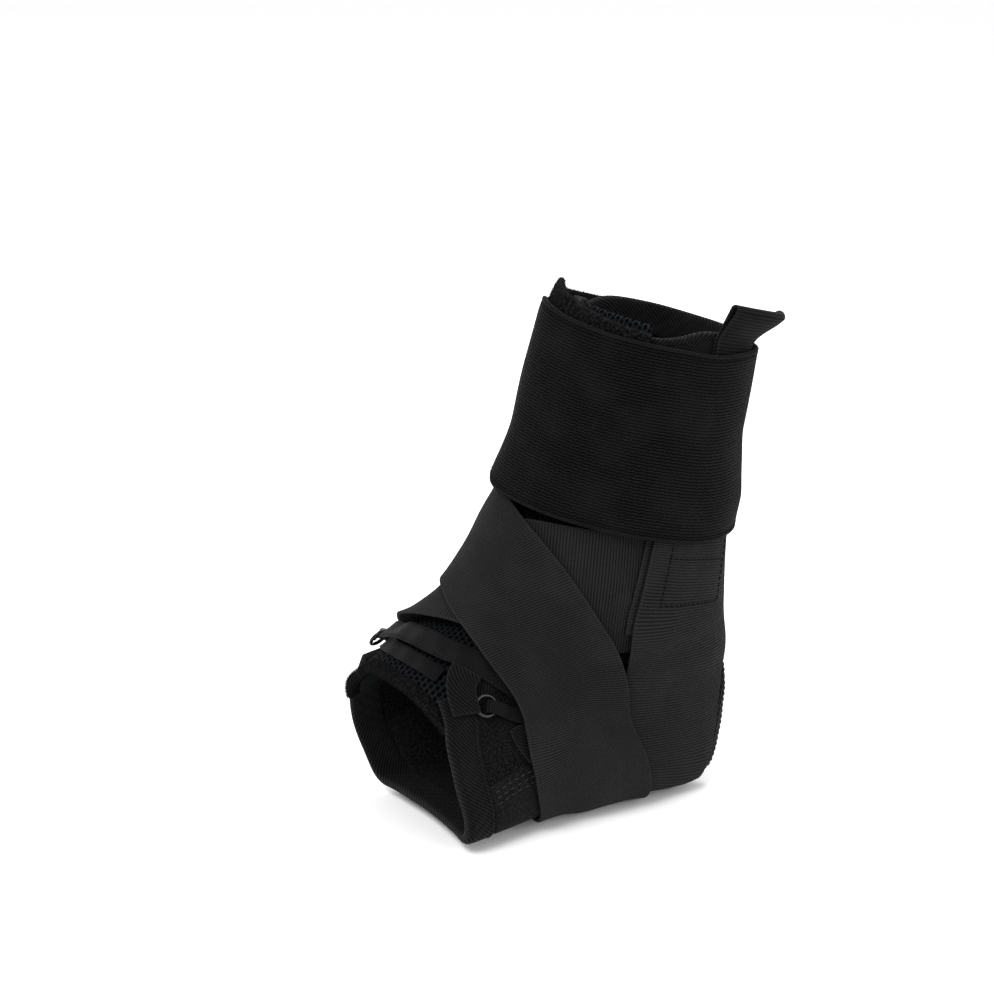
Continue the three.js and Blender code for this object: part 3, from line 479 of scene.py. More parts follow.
def weaveGroup():
    # Ribs at an angle to the cloth's length, bent by a zigzag, broken up by threads along them.
    group, given, out = newGroup("weave", [
        ("Place", vector, None), ("Angle", number, 0), ("Rib", number, 1.2), ("Thread", number, 0.6),
        ("Zigzag", number, 0), ("Zigzag pitch", number, 6), ("Uneven", number, 0.3),
    ], [("Height", number), ("Groove", number)])
    new, calc = partial(newNode, group), partial(mathNode, group)
    turned = new("ShaderNodeVectorRotate", {"Vector": given["Place"], "Angle": given["Angle"]},
                 rotation_type="Z_AXIS")
    place = new("ShaderNodeSeparateXYZ", {0: turned[0]})
    noise = new("ShaderNodeTexNoise", {"Vector": given["Place"], "Scale": 0.35})
    zig = calc("PINGPONG", place["Y"], given["Zigzag pitch"])
    bent = calc("MULTIPLY_ADD", zig, given["Zigzag"], place["X"])
    wander = calc("MULTIPLY_ADD", noise["Fac"], given["Uneven"], bent)
    rib = calc("SINE", calc("DIVIDE", calc("MULTIPLY", wander, fullTurn), given["Rib"]))
    ribs = calc("MULTIPLY_ADD", rib, 0.5, 0.5)
    threadTurn = calc("DIVIDE", calc("MULTIPLY", place["Y"], fullTurn), given["Thread"])
    thread = calc("SINE", calc("ADD", threadTurn, calc("MULTIPLY", rib, 0.9)))
    threads = calc("MULTIPLY_ADD", thread, 0.5, 0.5)
    fill(group, out, {
        "Height": calc("MULTIPLY_ADD", threads, 0.35, calc("MULTIPLY", ribs, 0.65)),
        "Groove": calc("POWER", calc("SUBTRACT", 1, ribs), 2)})
    return group


def agedGroup():
    # Heather flecks, lint and dust (on the lace tape also painted glints), faded edges, cloudy wear: one mask
    # each.
    group, given, out = newGroup("aged", [
        ("Place", vector, None), ("Edge", vector, None), ("Fleck size", number, 0.6),
        ("Edge width", number, 1.2),
    ], [("Fleck", number), ("LintAndGlint", number), ("Worn edge", number), ("Cloud", number)])
    new, calc = partial(newNode, group), partial(mathNode, group)

    def noise(detail, scale):
        return new("ShaderNodeTexNoise", {"Vector": given["Place"], "Detail": detail, "Scale": scale})["Fac"]

    lintAndGlint = calc("SUBTRACT", noise(5, 0.9), 0.69)
    away = new("ShaderNodeSeparateXYZ", {0: given["Edge"]})
    worn = calc("SUBTRACT", 1, calc("DIVIDE", calc("MINIMUM", away["X"], away["Y"]), given["Edge width"]))
    fill(group, out, {
        "Fleck": noise(2, calc("DIVIDE", 1, given["Fleck size"])),
        "LintAndGlint": calc("MULTIPLY", calc("MAXIMUM", lintAndGlint, 0), 9),
        "Cloud": noise(3, 0.05), "Worn edge": calc("MAXIMUM", worn, 0)})
    return group


weave, aged = weaveGroup(), agedGroup()


def newMaterial(name, rough, gloss, colour=(0, 0, 0)):
    made = bpy.data.materials.new(name)
    made.use_nodes = True
    shader = made.node_tree.nodes["Principled BSDF"]
    fill(made.node_tree, shader, {
        "Base Color": colour + (1,), "Roughness": rough, "Specular IOR Level": gloss})
    return made, shader


def clothMaterial(name, look):
    gloss = look.get("gloss", 0.11)
    made, shader = newMaterial(name, look.get("rough", 0.85), gloss)
    tree = made.node_tree
    new, calc = partial(newNode, tree), partial(mathNode, tree)
    lengths = {layer: new("ShaderNodeUVMap", {}, uv_map=layer)["UV"] for layer in ("cloth", "edge")}

    def effect(group, keys, sockets):
        given = {label: look[key] for label, key in keys.items() if key in look}
        return new("ShaderNodeGroup", {**given, **sockets}, node_tree=group)

    def colourMix(factor, a, b):
        whole = [value + (1,) if isinstance(value, tuple) else value for value in (a, b)]
        return new("ShaderNodeMixRGB", {0: factor, 1: whole[0], 2: whole[1]})[0]

    ribs = effect(weave, {"Angle": "angle", "Rib": "rib", "Thread": "thread", "Zigzag": "zigzag",
                          "Zigzag pitch": "pitch", "Uneven": "uneven"}, {"Place": lengths["cloth"]})
    age = effect(aged, {"Fleck size": "fleck", "Edge width": "edge"},
                 {"Place": lengths["cloth"], "Edge": lengths["edge"]})
    dark, light = look["dark"], look["light"]
    # Light grey specks are lint and dust, and on the lace tape painted glints; the near black is painted
    # shade in the mesh's holes.
    lintAndGlintColour, holeShadeColour = (0.09, 0.09, 0.09), (0.002, 0.002, 0.003)
    flecks = calc("MULTIPLY", calc("SUBTRACT", age["Fleck"], 0.42), look.get("heather", 2))
    colour = colourMix(calc("MINIMUM", calc("MAXIMUM", flecks, 0), 1), dark, light)
    # Painted shade: the weave's grooves are darkened towards a third of the dark colour.
    grooveShade = calc("MULTIPLY", ribs["Groove"], look.get("grooveShade", 0.5))
    colour = colourMix(grooveShade, colour, tuple(c * 0.3 for c in dark))
    cloud = calc("MULTIPLY", calc("MAXIMUM", calc("SUBTRACT", age["Cloud"], 0.45), 0), 0.9)
    colour = colourMix(cloud, colour, light)
    # Light specks: lint, and where the weight is large, as on the lace tape, painted glints.
    colour = colourMix(calc("MULTIPLY", age["LintAndGlint"], look.get("lintAndGlint", 0.25)), colour, lintAndGlintColour)
    colour = colourMix(calc("MULTIPLY", age["Worn edge"], look.get("worn", 0.3)), colour, light)
    height = calc("MULTIPLY", ribs["Height"], look.get("relief", 1))
    height = calc("ADD", height, calc("MULTIPLY", age["Fleck"], look.get("fuzz", 0.5)))
    hollowShade = grooveShade  # hollows of the weave, or the holes of a mesh, have no shine
    # Painted shade: the mesh's dimpled holes are painted near black and get no shine.
    if look.get("holes"):
        hole = new("ShaderNodeAttribute", {}, attribute_name="hole")
        hollowShade = calc("MINIMUM", calc("MULTIPLY", hole["Fac"], 2.5), 1)
        colour = colourMix(hollowShade, colour, holeShadeColour)
    relief = new("ShaderNodeBump", {"Strength": 0.8, "Distance": look.get("depth", 0.0003), "Height": height})
    fill(tree, shader, {
        "Base Color": colour, "Normal": relief[0],
        "Specular IOR Level": calc("MULTIPLY", calc("SUBTRACT", 1, hollowShade), gloss),
        "Sheen Weight": look.get("sheen", 0.02), "Sheen Roughness": 0.5, "Sheen Tint": (0.75, 0.75, 0.78, 1)})
    return made


quarter = math.pi / 2
grey = {"dark": (0.0025, 0.0025, 0.0028), "light": (0.011, 0.011, 0.012)}
# The groove weights in these looks set how much painted shade darkens the weave's hollows.
webbing = {"dark": (0.0075, 0.0075, 0.008), "light": (0.02, 0.0197, 0.0208), "uneven": 0.08, "relief": 1.6,
           "fuzz": 0.25, "depth": 0.0004, "grooveShade": 0.85, "worn": 0.5, "edge": 0.9, "heather": 1.2}
cloths = {
    "plush": ("heather plush", {
        "dark": (0.001, 0.001, 0.0012), "light": (0.008, 0.008, 0.0088), "rib": 1.1, "thread": 1.3,
        "relief": 0.3, "fleck": 1.1, "heather": 5, "fuzz": 1.4, "depth": 0.0006, "rough": 0.95,
        "lintAndGlint": 0.3, "gloss": 0.03}),
    "mesh": ("spacer mesh", {
        "dark": (0.003, 0.0037, 0.0043), "light": (0.016, 0.019, 0.0215), "rib": 0.7, "thread": 0.7,
        "relief": 0.8, "fleck": 0.5, "fuzz": 0.6, "holes": True, "sheen": 0, "gloss": 0.1}),
    "twill": ("twill tape", {
        **webbing, **grey, "angle": 0.85, "rib": 1.2, "thread": 4, "uneven": 0.15, "relief": 1.8,
        "depth": 0.0005, "gloss": 0.1}),
    "innerWebbing": ("strap webbing", {**webbing, "rib": 1.15, "thread": 0.9}),
    "outerWebbing": ("outer strap webbing", {**webbing, "rib": 0.9, "thread": 1.1, "angle": 0.1}),
    "tabWebbing": ("grosgrain", {
        **grey, "gloss": 0.06, "rib": 1.5, "thread": 0.8, "angle": quarter, "relief": 1.2,
        "depth": 0.0004, "grooveShade": 0.8, "worn": 0.5}),
    "elastic": ("cuff elastic", {
        "dark": (0.001, 0.001, 0.0012), "light": (0.0115, 0.0113, 0.0123), "rib": 1.25, "thread": 1.0,
        "angle": quarter, "zigzag": 0.2, "pitch": 1.5, "uneven": 0.2, "relief": 2, "depth": 0.0004,
        "grooveShade": 1, "worn": 0.5, "edge": 1.4, "gloss": 0.07}),
    "pile": ("black pile", {
        "dark": (0.001, 0.001, 0.0011), "light": (0.011, 0.011, 0.012), "rib": 1.1, "relief": 0.1,
        "fleck": 1.2, "heather": 5, "fuzz": 2.2, "gloss": 0.04, "rough": 1, "depth": 0.0008}),
    "knit": ("sling knit", {
        **grey, "gloss": 0.04, "rib": 1, "thread": 1.2, "relief": 0.5, "fleck": 1.1, "heather": 4,
        "fuzz": 1}),
    # A large lint weight here paints glints: light specks standing for highlights on the shiny weave.
    "satin": ("lace tape", {
        "dark": (0.002, 0.002, 0.0023), "light": (0.004, 0.004, 0.0045), "rib": 0.9, "thread": 1.1,
        "relief": 1.2, "fuzz": 0.4, "gloss": 0.06, "rough": 0.5, "worn": 0.5, "edge": 0.6, "lintAndGlint": 0.8}),
    "hook": ("hook strip", {
        "dark": (0.005, 0.005, 0.0055), "light": (0.018, 0.018, 0.019), "rib": 1.2, "thread": 1.2,
        "relief": 1.6, "fuzz": 0.6, "depth": 0.0004, "rough": 0.7}),
}
materials = {key: clothMaterial(name, look) for key, (name, look) in cloths.items()}
enamel = newMaterial("black enamel", 0.12, 0.35, (0.002, 0.002, 0.0022))[0]
threads = {
    "dark": newMaterial("black thread", 0.9, 0.1, (0.001, 0.001, 0.0011))[0],
    "mid": newMaterial("dark grey thread", 0.9, 0.1, (0.006, 0.006, 0.0064))[0],
    "grey": newMaterial("grey thread", 0.9, 0.1, (0.022, 0.022, 0.023))[0],
}
print("stage: materials made")

# Shell
shell = {
    "toe": [[8.2, 36], [8.44, 48], [8.6, 55], [8.86, 64], [9.12, 84], [9.24, 108], [9.36, 128], [9.42, 155],
            [9.42, 180], [9.42, 205], [9.36, 232], [9.3, 252], [9.22, 276], [9.0, 296], [8.72, 305],
            [8.55, 313], [8.3, 325]],
    "lacing": [[0.2, 44], [2, 44], [4, 44], [6, 45], [7.5, 46], [8.9, 48]],
    "top": [[0.93, 30], [0.93, 60], [0.78, 76], [0.42, 92], [0.28, 120], [0.3, 150], [0.3, 180],
            [0.3, 210], [0.28, 240], [0.42, 268], [0.78, 284], [0.93, 300], [0.93, 330]],
    "achilles": [[-0.2, 149], [2, 150], [4, 150], [5.2, 151]],
    "heel": [[4.5, 180], [4.62, 165], [4.95, 151], [5.35, 146], [5.8, 146], [6.2, 152], [6.5, 164],
             [6.58, 180], [6.5, 196], [6.2, 208], [5.8, 214], [5.35, 214], [4.95, 209], [4.62, 195]],
    "sole": [[5.4, 150], [5.95, 128], [6.4, 109], [7, 98], [8, 94.5], [9.8, 94]],
    "bindingWidth": 11.5, "heelBindingWidth": 9, "lacingBindingWidth": 8,
}


def onBothSides(rows):
    return {"lateral": traced(rows), "medial": traced(mirrored(rows))}


def seamPair(lines):
    return shifted(lines["lateral"], walls["sewn"] / 2), shifted(lines["medial"], -walls["sewn"] / 2)


toeLine, topLine, heelLine = traced(shell["toe"]), traced(shell["top"]), traced(shell["heel"], True)
lacing, achilles, soles = [onBothSides(shell[key]) for key in ("lacing", "achilles", "sole")]
toeEdge = shifted(toeLine, shell["bindingWidth"] + walls["seam"])
topEdge = shifted(topLine, -(shell["bindingWidth"] + walls["seam"]))
heelEdge = shifted(heelLine, -(shell["heelBindingWidth"] + walls["seam"]), True)
heelEdge = np.vstack([heelEdge, heelEdge[:1]])
half = len(heelEdge) // 2
heelHalf = {"lateral": heelEdge[:half + 1], "medial": heelEdge[half:]}
heelRound = np.vstack([heelEdge[half:-1], heelEdge[:half + 1]])[::-1]


def addPanel(side):
    inward = -1 if side == "lateral" else 1
    front = shifted(lacing[side], -inward * (shell["lacingBindingWidth"] + walls["seam"]))
    seam = shifted(achilles[side], inward * walls["sewn"] / 2)
    sole = shifted(soles[side], inward * walls["sewn"] / 2)
    seamEnd, heelStart = crossing(seam, heelHalf[side])
    heelEnd, soleStart = crossing(heelHalf[side], sole)
    topFront, lacingTop = crossing(topEdge, front)
    topRear, seamTop = crossing(topEdge, seam)
    toeFront, lacingToe = crossing(toeEdge, front)
    toeSole, soleToe = crossing(toeEdge, sole)
    lead = stretch(front, lacingTop, lacingToe)
    rear = np.vstack([stretch(seam, seamTop, seamEnd), stretch(heelHalf[side], heelStart, heelEnd)[1:],
                      stretch(sole, soleStart, soleToe)[1:]])
    top, toe = stretch(topEdge, topFront, topRear), stretch(toeEdge, toeFront, toeSole)
    if side == "lateral":
        cloth = patchCloth(top, toe, lead, rear)
    else:
        cloth = patchCloth(top[::-1], toe[::-1], rear, lead)
    heights = flat(cloth, 0) + gentle(cloth, "panel")
    sew("side_panel_" + side, cloth, heights, walls["panel"], "plush")


addPanel("lateral")
addPanel("medial")
cloth = patchBetween(topEdge, heelRound, *seamPair(achilles))
sew("achilles_panel", cloth, flat(cloth, 0), walls["panel"], "knit")
cloth = patchBetween(heelEdge, toeEdge, *seamPair(soles))
sew("sole_sling", cloth, flat(cloth, 0), walls["panel"], "knit")


def addBinding(node, line, width, rise, closed=False):
    # The tape laps over the edge of the panels that it binds.
    cloth = bandCloth(line, width + 2 * walls["lap"], "binding", closed)
    wall = walls["bindingTuck"] + walls["panel"] + max(rise, walls["lapRise"])
    heights = flat(cloth, -walls["bindingTuck"]) + gentle(cloth, "binding")
    sew(node, cloth, heights, wall, "twill")


toeMiddle = shifted(toeLine, shell["bindingWidth"] / 2)
topMiddle = shifted(topLine, -shell["bindingWidth"] / 2)
width, laces = shell["bindingWidth"], (lacing["lateral"], lacing["medial"])
addBinding("toe_binding", trimmedBetween(toeMiddle, *laces), width, walls["bindingRise"])
addBinding("top_binding", trimmedBetween(topMiddle, *laces), width, 0)
width = shell["heelBindingWidth"]
addBinding("heel_binding", shifted(heelLine, -width / 2, True), width, 0, True)
width = shell["lacingBindingWidth"]
for side, inward in (("lateral", 1), ("medial", -1)):
    middle = shifted(lacing[side], inward * width / 2)
    addBinding("lacing_binding_" + side, trimmedBetween(middle, topEdge, toeEdge), width, 0)
print("stage: shell")

# Tongue: spacer mesh with staggered holes
tongue = {
    "top": [[0.55, -66], [0.35, -40], [0.3, -20], [0.32, 0], [0.45, 30], [0.6, 64]],
    "toe": [[9.25, -66], [9.15, -32], [8.86, -19], [8.8, 9], [8.72, 37], [8.7, 64]],
    "lateral": [[0, 57], [4, 57], [9.2, 58]], "medial": [[0, -60], [4, -60], [9.6, -60]],
    "edgeWidth": 5, "holePitch": (3.1, 2.3), "holeSize": (1.15, 0.66), "holeDepth": 0.8,
}
toe, left, right = traced(tongue["toe"]), traced(tongue["medial"]), traced(tongue["lateral"])
meshToe = shifted(toe, tongue["edgeWidth"] + walls["sewn"])
cloth = patchBetween(traced(tongue["top"]), meshToe, left, right, "mesh")
pitchU, pitchV = tongue["holePitch"]
alongU, acrossV = np.meshgrid(cloth["u"], cloth["v"], indexing="ij")
row = np.round(acrossV / pitchV)
offU = (alongU + (row % 2) * pitchU / 2 + pitchU / 2) % pitchU - pitchU / 2
holeAway = np.hypot(offU / tongue["holeSize"][0], (acrossV - row * pitchV) / tongue["holeSize"][1])
dimple = tongue["holeDepth"] * (1 - smooth((holeAway - 0.6) / 0.8))
base = -walls["tongueDrop"] - walls["tongue"]
sew("tongue", cloth, flat(cloth, base), walls["tongue"], "mesh", dimple)
edgeLine = trimmedBetween(shifted(toe, tongue["edgeWidth"] / 2), left, right)
cloth = bandCloth(edgeLine, tongue["edgeWidth"], "edge")
sew("tongue_edge", cloth, flat(cloth, base) + gentle(cloth, "edge"), walls["tongue"], "pile")

# Lacing at the instep
lace = {
    "tape": [[7.72, -33], [7.55, -12], [7.46, 8], [7.36, 24], [7.22, 38], [7.1, 50], [7.0, 62]],
    "return": [[7.95, -31], [8.05, -14], [8.04, 6], [7.98, 22], [7.9, 34]],
    "stay": [[7.6, 73.5], [7.64, 76], [7.7, 81], [7.72, 92]],
    "keeper": [[7.77, 58.5], [7.66, 62], [7.54, 66.5], [7.4, 71]], "ring": (7.77, 58.5),
    "keeperMedial": [[7.95, -44], [7.84, -48], [7.7, -53], [7.54, -58]], "ringMedial": (7.95, -44),
    "keeperRise": [[0, 0.3], [0.8, 0.6], [2, 1], [6.2, 1], [9.5, 0.1]],  # away from the ring, share
    "fold": [[7.5, 41.5], [7.72, 43.5], [7.92, 47], [8.08, 52], [8.2, 57]],
    "width": 10, "returnShare": 0.7, "base": 0.6, "keeperWidth": 5, "stayWidth": 7, "foldWidth": 11,
    "foldWall": 1.8, "ringRadius": 4.1, "wire": 0.7, "shownWire": 0.77,
}


def addTape(node, rows, width, wall, base, under, look):
    cloth = bandCloth(traced(rows), width, "tape")
    heights = softened(draped(cloth, base, [covers[name] for name in under]), 6) + gentle(cloth, "tape")
    sew(node, cloth, heights, wall, look)


addTape("lace_return", lace["return"], lace["width"] * lace["returnShare"], walls["tape"],
        walls["gap"] - walls["tongueDrop"], [], "satin")
addTape("lace_tape", lace["tape"], lace["width"], walls["tape"], lace["base"],
        ["lace_return", "lacing_binding_lateral", "lacing_binding_medial", "side_panel_lateral"],
        "satin")
addTape("binding_end", lace["fold"], lace["foldWidth"], lace["foldWall"], panelTop + walls["bindingRise"],
        ["lace_tape"], "twill")
addTape("lace_stay", lace["stay"], lace["stayWidth"], walls["tape"], panelTop, [], "twill")


def addRing(node, place):
    normal = formSlopes(*place)[2]
    centre = formPoint(*place) + normal * (panelTop + walls["bindingRise"] + lace["wire"])
    bpy.ops.mesh.primitive_torus_add(
        major_radius=lace["ringRadius"] / 1000, minor_radius=lace["shownWire"] / 1000,
        major_segments=64, minor_segments=20)
    made = bpy.context.object
    made.name = node + "_bright"
    turn = Vector((0, 0, 1)).rotation_difference(Vector(normal)).to_matrix().to_4x4()
    made.data.transform(Matrix.Translation(Vector(centre / 1000)) @ turn)
    made.matrix_world = Matrix.Identity(4)
    made.data.polygons.foreach_set("use_smooth", np.ones(len(made.data.polygons), bool))
    made.data.materials.append(enamel)
    placed(made, "enamel", node)


def addKeeper(node, rows, ringPlace):
    # A short tape that goes over the ring's wire.
    cloth = bandCloth(traced(rows), lace["keeperWidth"], "keeper")
    middle = cloth["grid"][:, len(cloth["v"]) // 2]
    away = np.linalg.norm(formPoint(*middle.T) - formPoint(*ringPlace), axis=1)
    rise = np.interp(away, *np.array(lace["keeperRise"]).T) * 2 * (lace["wire"] + walls["gap"])
    heights = flat(cloth, panelTop + walls["bindingRise"]) + rise[:, None]
    sew(node, cloth, heights, walls["tape"], "satin")


for side, ring, keeper in (("lateral", "ring", "keeper"), ("medial", "ringMedial", "keeperMedial")):
    addRing("lace_ring_" + side, lace[ring])
    addKeeper("ring_keeper_" + side, lace[keeper], lace[ring])
print("stage: tongue and lacing")

# Wrap straps
straps = {
    "inner": [[3.5, 133], [3.8, 92], [4.25, 54], [4.65, 29], [5.15, 2], [5.65, -27], [6.1, -52], [6.5, -78],
              [6.8, -102], [7.04, -125], [7.12, -152], [7.05, -180], [6.9, -207], [6.5, -237], [5.8, -255],
              [5.0, -257], [4.3, -253], [3.6, -249], [3.0, -246], [2.4, -245]],
    "outer": [[2.95, -115], [3.25, -72], [3.75, -36], [4.3, -9], [4.98, 22], [5.66, 45], [6.3, 67],
              [6.95, 90], [7.28, 115], [7.45, 145], [7.4, 178], [7.1, 207], [6.6, 234], [5.8, 252],
              [5.0, 255], [4.3, 252], [3.6, 249], [3.0, 247]],
    "width": 50, "startShare": 0.28, "lapStart": 0.46, "lapRamp": 0.08, "hookWidth": 14, "hookLength": 62,
    "hookShow": 2.2, "leastLift": -0.15,
}


def addStrap(node, hookNode, route, inward, under, look):
    # The strap's second half lies on its own first half and on the hook strip at its end.
    cloth = bandCloth(routed(route), straps["width"], "strap")
    below = [covers[name] for name in under]
    first = draped(cloth, panelTop, below)
    count = len(cloth["u"])
    start = spotsFrom(cloth, first + walls["strap"], slice(0, round(count * straps["startShare"])))
    front = cloth["grid"][:, -1 if inward < 0 else 0]
    walked = lengthsOf(front)
    tail = front[walked > walked[-1] - straps["hookLength"]]
    hookLine = shifted(tail, inward * (straps["hookWidth"] / 2 - straps["hookShow"]))
    hook = bandCloth(hookLine, straps["hookWidth"], "hook")
    sew(hookNode, hook, draped(hook, panelTop, below + [start]), walls["hook"], "hook")
    lapped = draped(cloth, panelTop, below + [start, covers[hookNode]])
    late = smooth((np.arange(count) / count - straps["lapStart"]) / straps["lapRamp"])[:, None]
    heights = softened(first + (lapped - first) * late)
    lift = np.maximum(gentle(cloth, "strap"), straps["leastLift"])
    sew(node, cloth, heights + lift, walls["strap"], look)


addStrap("inner_strap", "hook_strip_lateral", straps["inner"], -1, ["ring_keeper_medial"], "innerWebbing")
addStrap("outer_strap", "hook_strip_medial", straps["outer"], 1,
         ["inner_strap", "hook_strip_lateral", "lace_tape", "lace_stay", "ring_keeper_lateral"],
         "outerWebbing")
print("stage: straps")

# Pull tab: a loop of webbing whose fold leans outwards
tab = {
    "place": (1.3, 125), "width": 34, "reach": 32.5, "wall": 0.9, "loop": 2.4, "flare": 8,
    "leastFlare": 0.25, "free": 0.5, "tip": 0.93, "bulge": 0.15, "bulgeWave": 0.35,
    "coverRows": [4, 8, 12, 16],
}


def tabPlies(offset, here, across, up):
    # The tab's outer and inner line at one place of its width, and spots under it.
    shares = np.concatenate([np.linspace(0, tab["free"], 12), np.linspace(tab["free"], tab["tip"], 14)[1:]])
    foot = walk(here, (across * (1 if offset >= 0 else -1))[None], abs(offset)) if offset else here
    lean = tab["flare"] * (tab["leastFlare"] + (1 - tab["leastFlare"]) * (offset / tab["width"] + 0.5))
    held = np.maximum(np.minimum(shares, tab["free"]) * tab["reach"], 1e-3)
    ground = marched(foot, up[None], held)[:, 0]
    downs, _, normals = formSlopes(*ground.T)
    past = np.maximum(shares - tab["free"], 0)
    opening = smooth(past / (1 - tab["free"]))
    base = (lifted(ground, panelTop) - unit(downs) * (past * tab["reach"])[:, None]
            + normals * (lean * opening)[:, None])
    loop = walls["gap"] + tab["loop"] * opening
    plies = []
    for high, low in ((2 * tab["wall"], 0), (tab["wall"], tab["wall"])):
        front, back = base + normals * (high + loop)[:, None], base + normals * low
        middle, tip = (front[-1] + back[-1]) / 2, -unit(downs[-1])
        reach = np.linalg.norm(front[-1] - back[-1]) / 2
        turn = np.radians(np.linspace(90, -90, 9)[1:-1, None])
        fold = middle + normals[-1] * reach * np.sin(turn) + tip * reach * np.cos(turn)
        bulge = tab["bulge"] * math.sin(offset * tab["bulgeWave"])
        plies.append(np.vstack([front, fold, back[::-1]]) + normals[-1] * bulge)
    return plies, lifted(marched(foot, up[None], tab["coverRows"])[:, 0], 0)


def addTab():
    here = np.array([tab["place"]], float)
    down, around, _ = formSlopes(*here.T)
    across, up = unit(around)[0], unit(-down)[0]
    offsets = edged(tab["width"], "tab") - tab["width"] / 2
    plies, spots = zip(*[tabPlies(offset, here, across, up) for offset in offsets])
    outer, inner = [np.array(ply) for ply in zip(*plies)]
    points = np.concatenate([outer.reshape(-1, 3), inner.reshape(-1, 3)])
    u = offsets + tab["width"] / 2
    v = np.concatenate([[0], np.cumsum(np.linalg.norm(np.diff(outer[0], axis=0), axis=1))])
    faces, uv = wallFaces(u, v)
    away = np.broadcast_arrays(np.minimum(u, u[-1] - u)[:, None], np.full(outer.shape[:2], 99.0))
    edges = np.stack(away, -1).reshape(-1, 2)
    made = meshFrom("pull_tab_cloth", points, faces, uv, np.vstack([edges, edges]), materials["tabWebbing"])
    placed(made, "webbing", "pull_tab")
    spots = np.concatenate(spots)
    covers["pull_tab"] = (spots, np.full(len(spots), panelTop + 2 * tab["wall"] + walls["gap"]))


addTab()

# Cuff over the straps' ends, and the underwrap that stands above its edge
cuff = {
    "foot": [[3.0, -100], [3.05, -60], [3.02, -19], [3.12, -1], [3.18, 26], [3.16, 54], [3.11, 77],
             [3.06, 100], [2.92, 130], [2.84, 160], [2.84, 190], [2.92, 225], [3.0, 260], [3.02, 290]],
    "height": 76, "overlap": 26, "underwrapHeight": 30, "show": 4.5, "span": (-100, 57),
    "edge": [[-100, 0.1], [-60, 0.2], [-44, 0.5], [-34, 1.1], [-27, 0.6], [-10, 0.35], [20, 0.15],
             [57, -0.25]],
    "hem": 2.6, "hemDepth": 0.55, "hemWidth": 0.6, "lapStart": 0.46, "lapRamp": 0.1, "leastLift": -0.2,
    "creases": [[64.5, 78, 66, -2, 1.0, 6], [150, 20, 190, 10, 0.7, 6], [92, 60, 130, 52, 0.4, 7],
                [70, 26, 112, 14, 0.5, 6], [200, 60, 214, 10, 0.8, 7]],
}


def addUnderwrap(band):
    # Its top edge stands above the cuff, higher at some places than at others.
    edge = band["grid"][:, -1]
    edge = edge[(edge[:, 1] > cuff["span"][0]) & (edge[:, 1] < cuff["span"][1])]
    u = edged(lengthsOf(edge)[-1], "wrapLength")
    stations = along(edge, u)
    show = cuff["show"] * (1 + np.interp(stations[:, 1], *np.array(cuff["edge"]).T))
    top = np.array([walk(s[None], unit(-formSlopes(*s[None].T)[0]), d)[0] for s, d in zip(stations, show)])
    v = edged(cuff["underwrapHeight"], "wrapWidth")
    grid = np.concatenate([top[None], marched(top, unit(formSlopes(*top.T)[0]), v[1:])])[::-1]
    wrap = {"grid": grid.transpose(1, 0, 2), "u": u, "v": v, "closed": False}
    sew("underwrap", wrap, flat(wrap, panelTop) + gentle(wrap, "underwrap"), walls["underwrap"],
        "pile")


def addCuff(band):
    base = panelTop + walls["cuffEase"]
    under = ["inner_strap", "outer_strap", "hook_strip_lateral", "hook_strip_medial", "underwrap", "pull_tab"]
    below = [covers[name] for name in under]
    first = draped(band, base, below, 40)
    count = len(band["u"])
    start = spotsFrom(band, first + walls["cuff"], slice(0, count // 4))
    lapped = draped(band, base, below + [start])
    late = smooth((np.arange(count) / count - cuff["lapStart"]) / cuff["lapRamp"])[:, None]
    heights = softened(first + (np.maximum(lapped, first) - first) * late)
    hemAway = np.minimum(band["v"], cuff["height"] - band["v"])[None] - cuff["hem"]
    heights = heights - cuff["hemDepth"] * np.exp(-((hemAway / cuff["hemWidth"]) ** 2))
    swells = gentle(band, "cuff") + creased(band, cuff["creases"])
    heights = heights + np.maximum(swells, cuff["leastLift"])
    sew("cuff", band, heights, walls["cuff"], "elastic")


foot = traced(cuff["foot"])
foot = foot[foot[:, 1] <= foot[0, 1] + 360 + cuff["overlap"]]
u, v = edged(lengthsOf(foot)[-1], "cuff"), edged(cuff["height"], "cuff")
stations = along(foot, u)
grid = np.concatenate([stations[None], marched(stations, unit(-formSlopes(*stations.T)[0]), v[1:])])
band = {"grid": grid.transpose(1, 0, 2), "u": u, "v": v, "closed": False}
addUnderwrap(band)
addCuff(band)
print("stage: cuff")


# Node groups that grow stitches and pile
def finished(group, given, out, instances):
    # Both groups end alike: instances made real, then painted.
    real = newNode(group, "GeometryNodeRealizeInstances", {0: instances})
    paint = newNode(group, "GeometryNodeSetMaterial", {"Geometry": real[0], "Material": given["Material"]})
    fill(group, out, {"Geometry": paint[0]})
    return group


def stitchNodes():
    # Short thread capsules set along a line.
    group, given, out = newGroup("stitches", [
        ("Geometry", geometry, None), ("Pitch", number, 0.003), ("Length", number, 0.002),
        ("Thread", number, 0.0004), ("Material", paintKind, None),
    ], [("Geometry", geometry)], "GeometryNodeTree")
    new = partial(newNode, group)
    curve = new("GeometryNodeMeshToCurve", {0: given["Geometry"]})
    even = new("GeometryNodeResampleCurve", {"Curve": curve[0], "Length": given["Pitch"]}, mode="LENGTH")
    capsule = new("GeometryNodeMeshUVSphere", {"Segments": 8, "Rings": 6, "Radius": 1})
    size = new("ShaderNodeCombineXYZ", {"X": mathNode(group, "MULTIPLY", given["Length"], 0.5),
                                        "Y": given["Thread"], "Z": given["Thread"]})
    tangent = new("GeometryNodeInputTangent", {})
    turned = new("FunctionNodeAlignEulerToVector", {"Vector": tangent[0]}, axis="X")
    placing = new("GeometryNodeInstanceOnPoints", {
        "Points": even[0], "Instance": capsule["Mesh"], "Rotation": turned[0], "Scale": size[0]})
    return finished(group, given, out, placing[0])


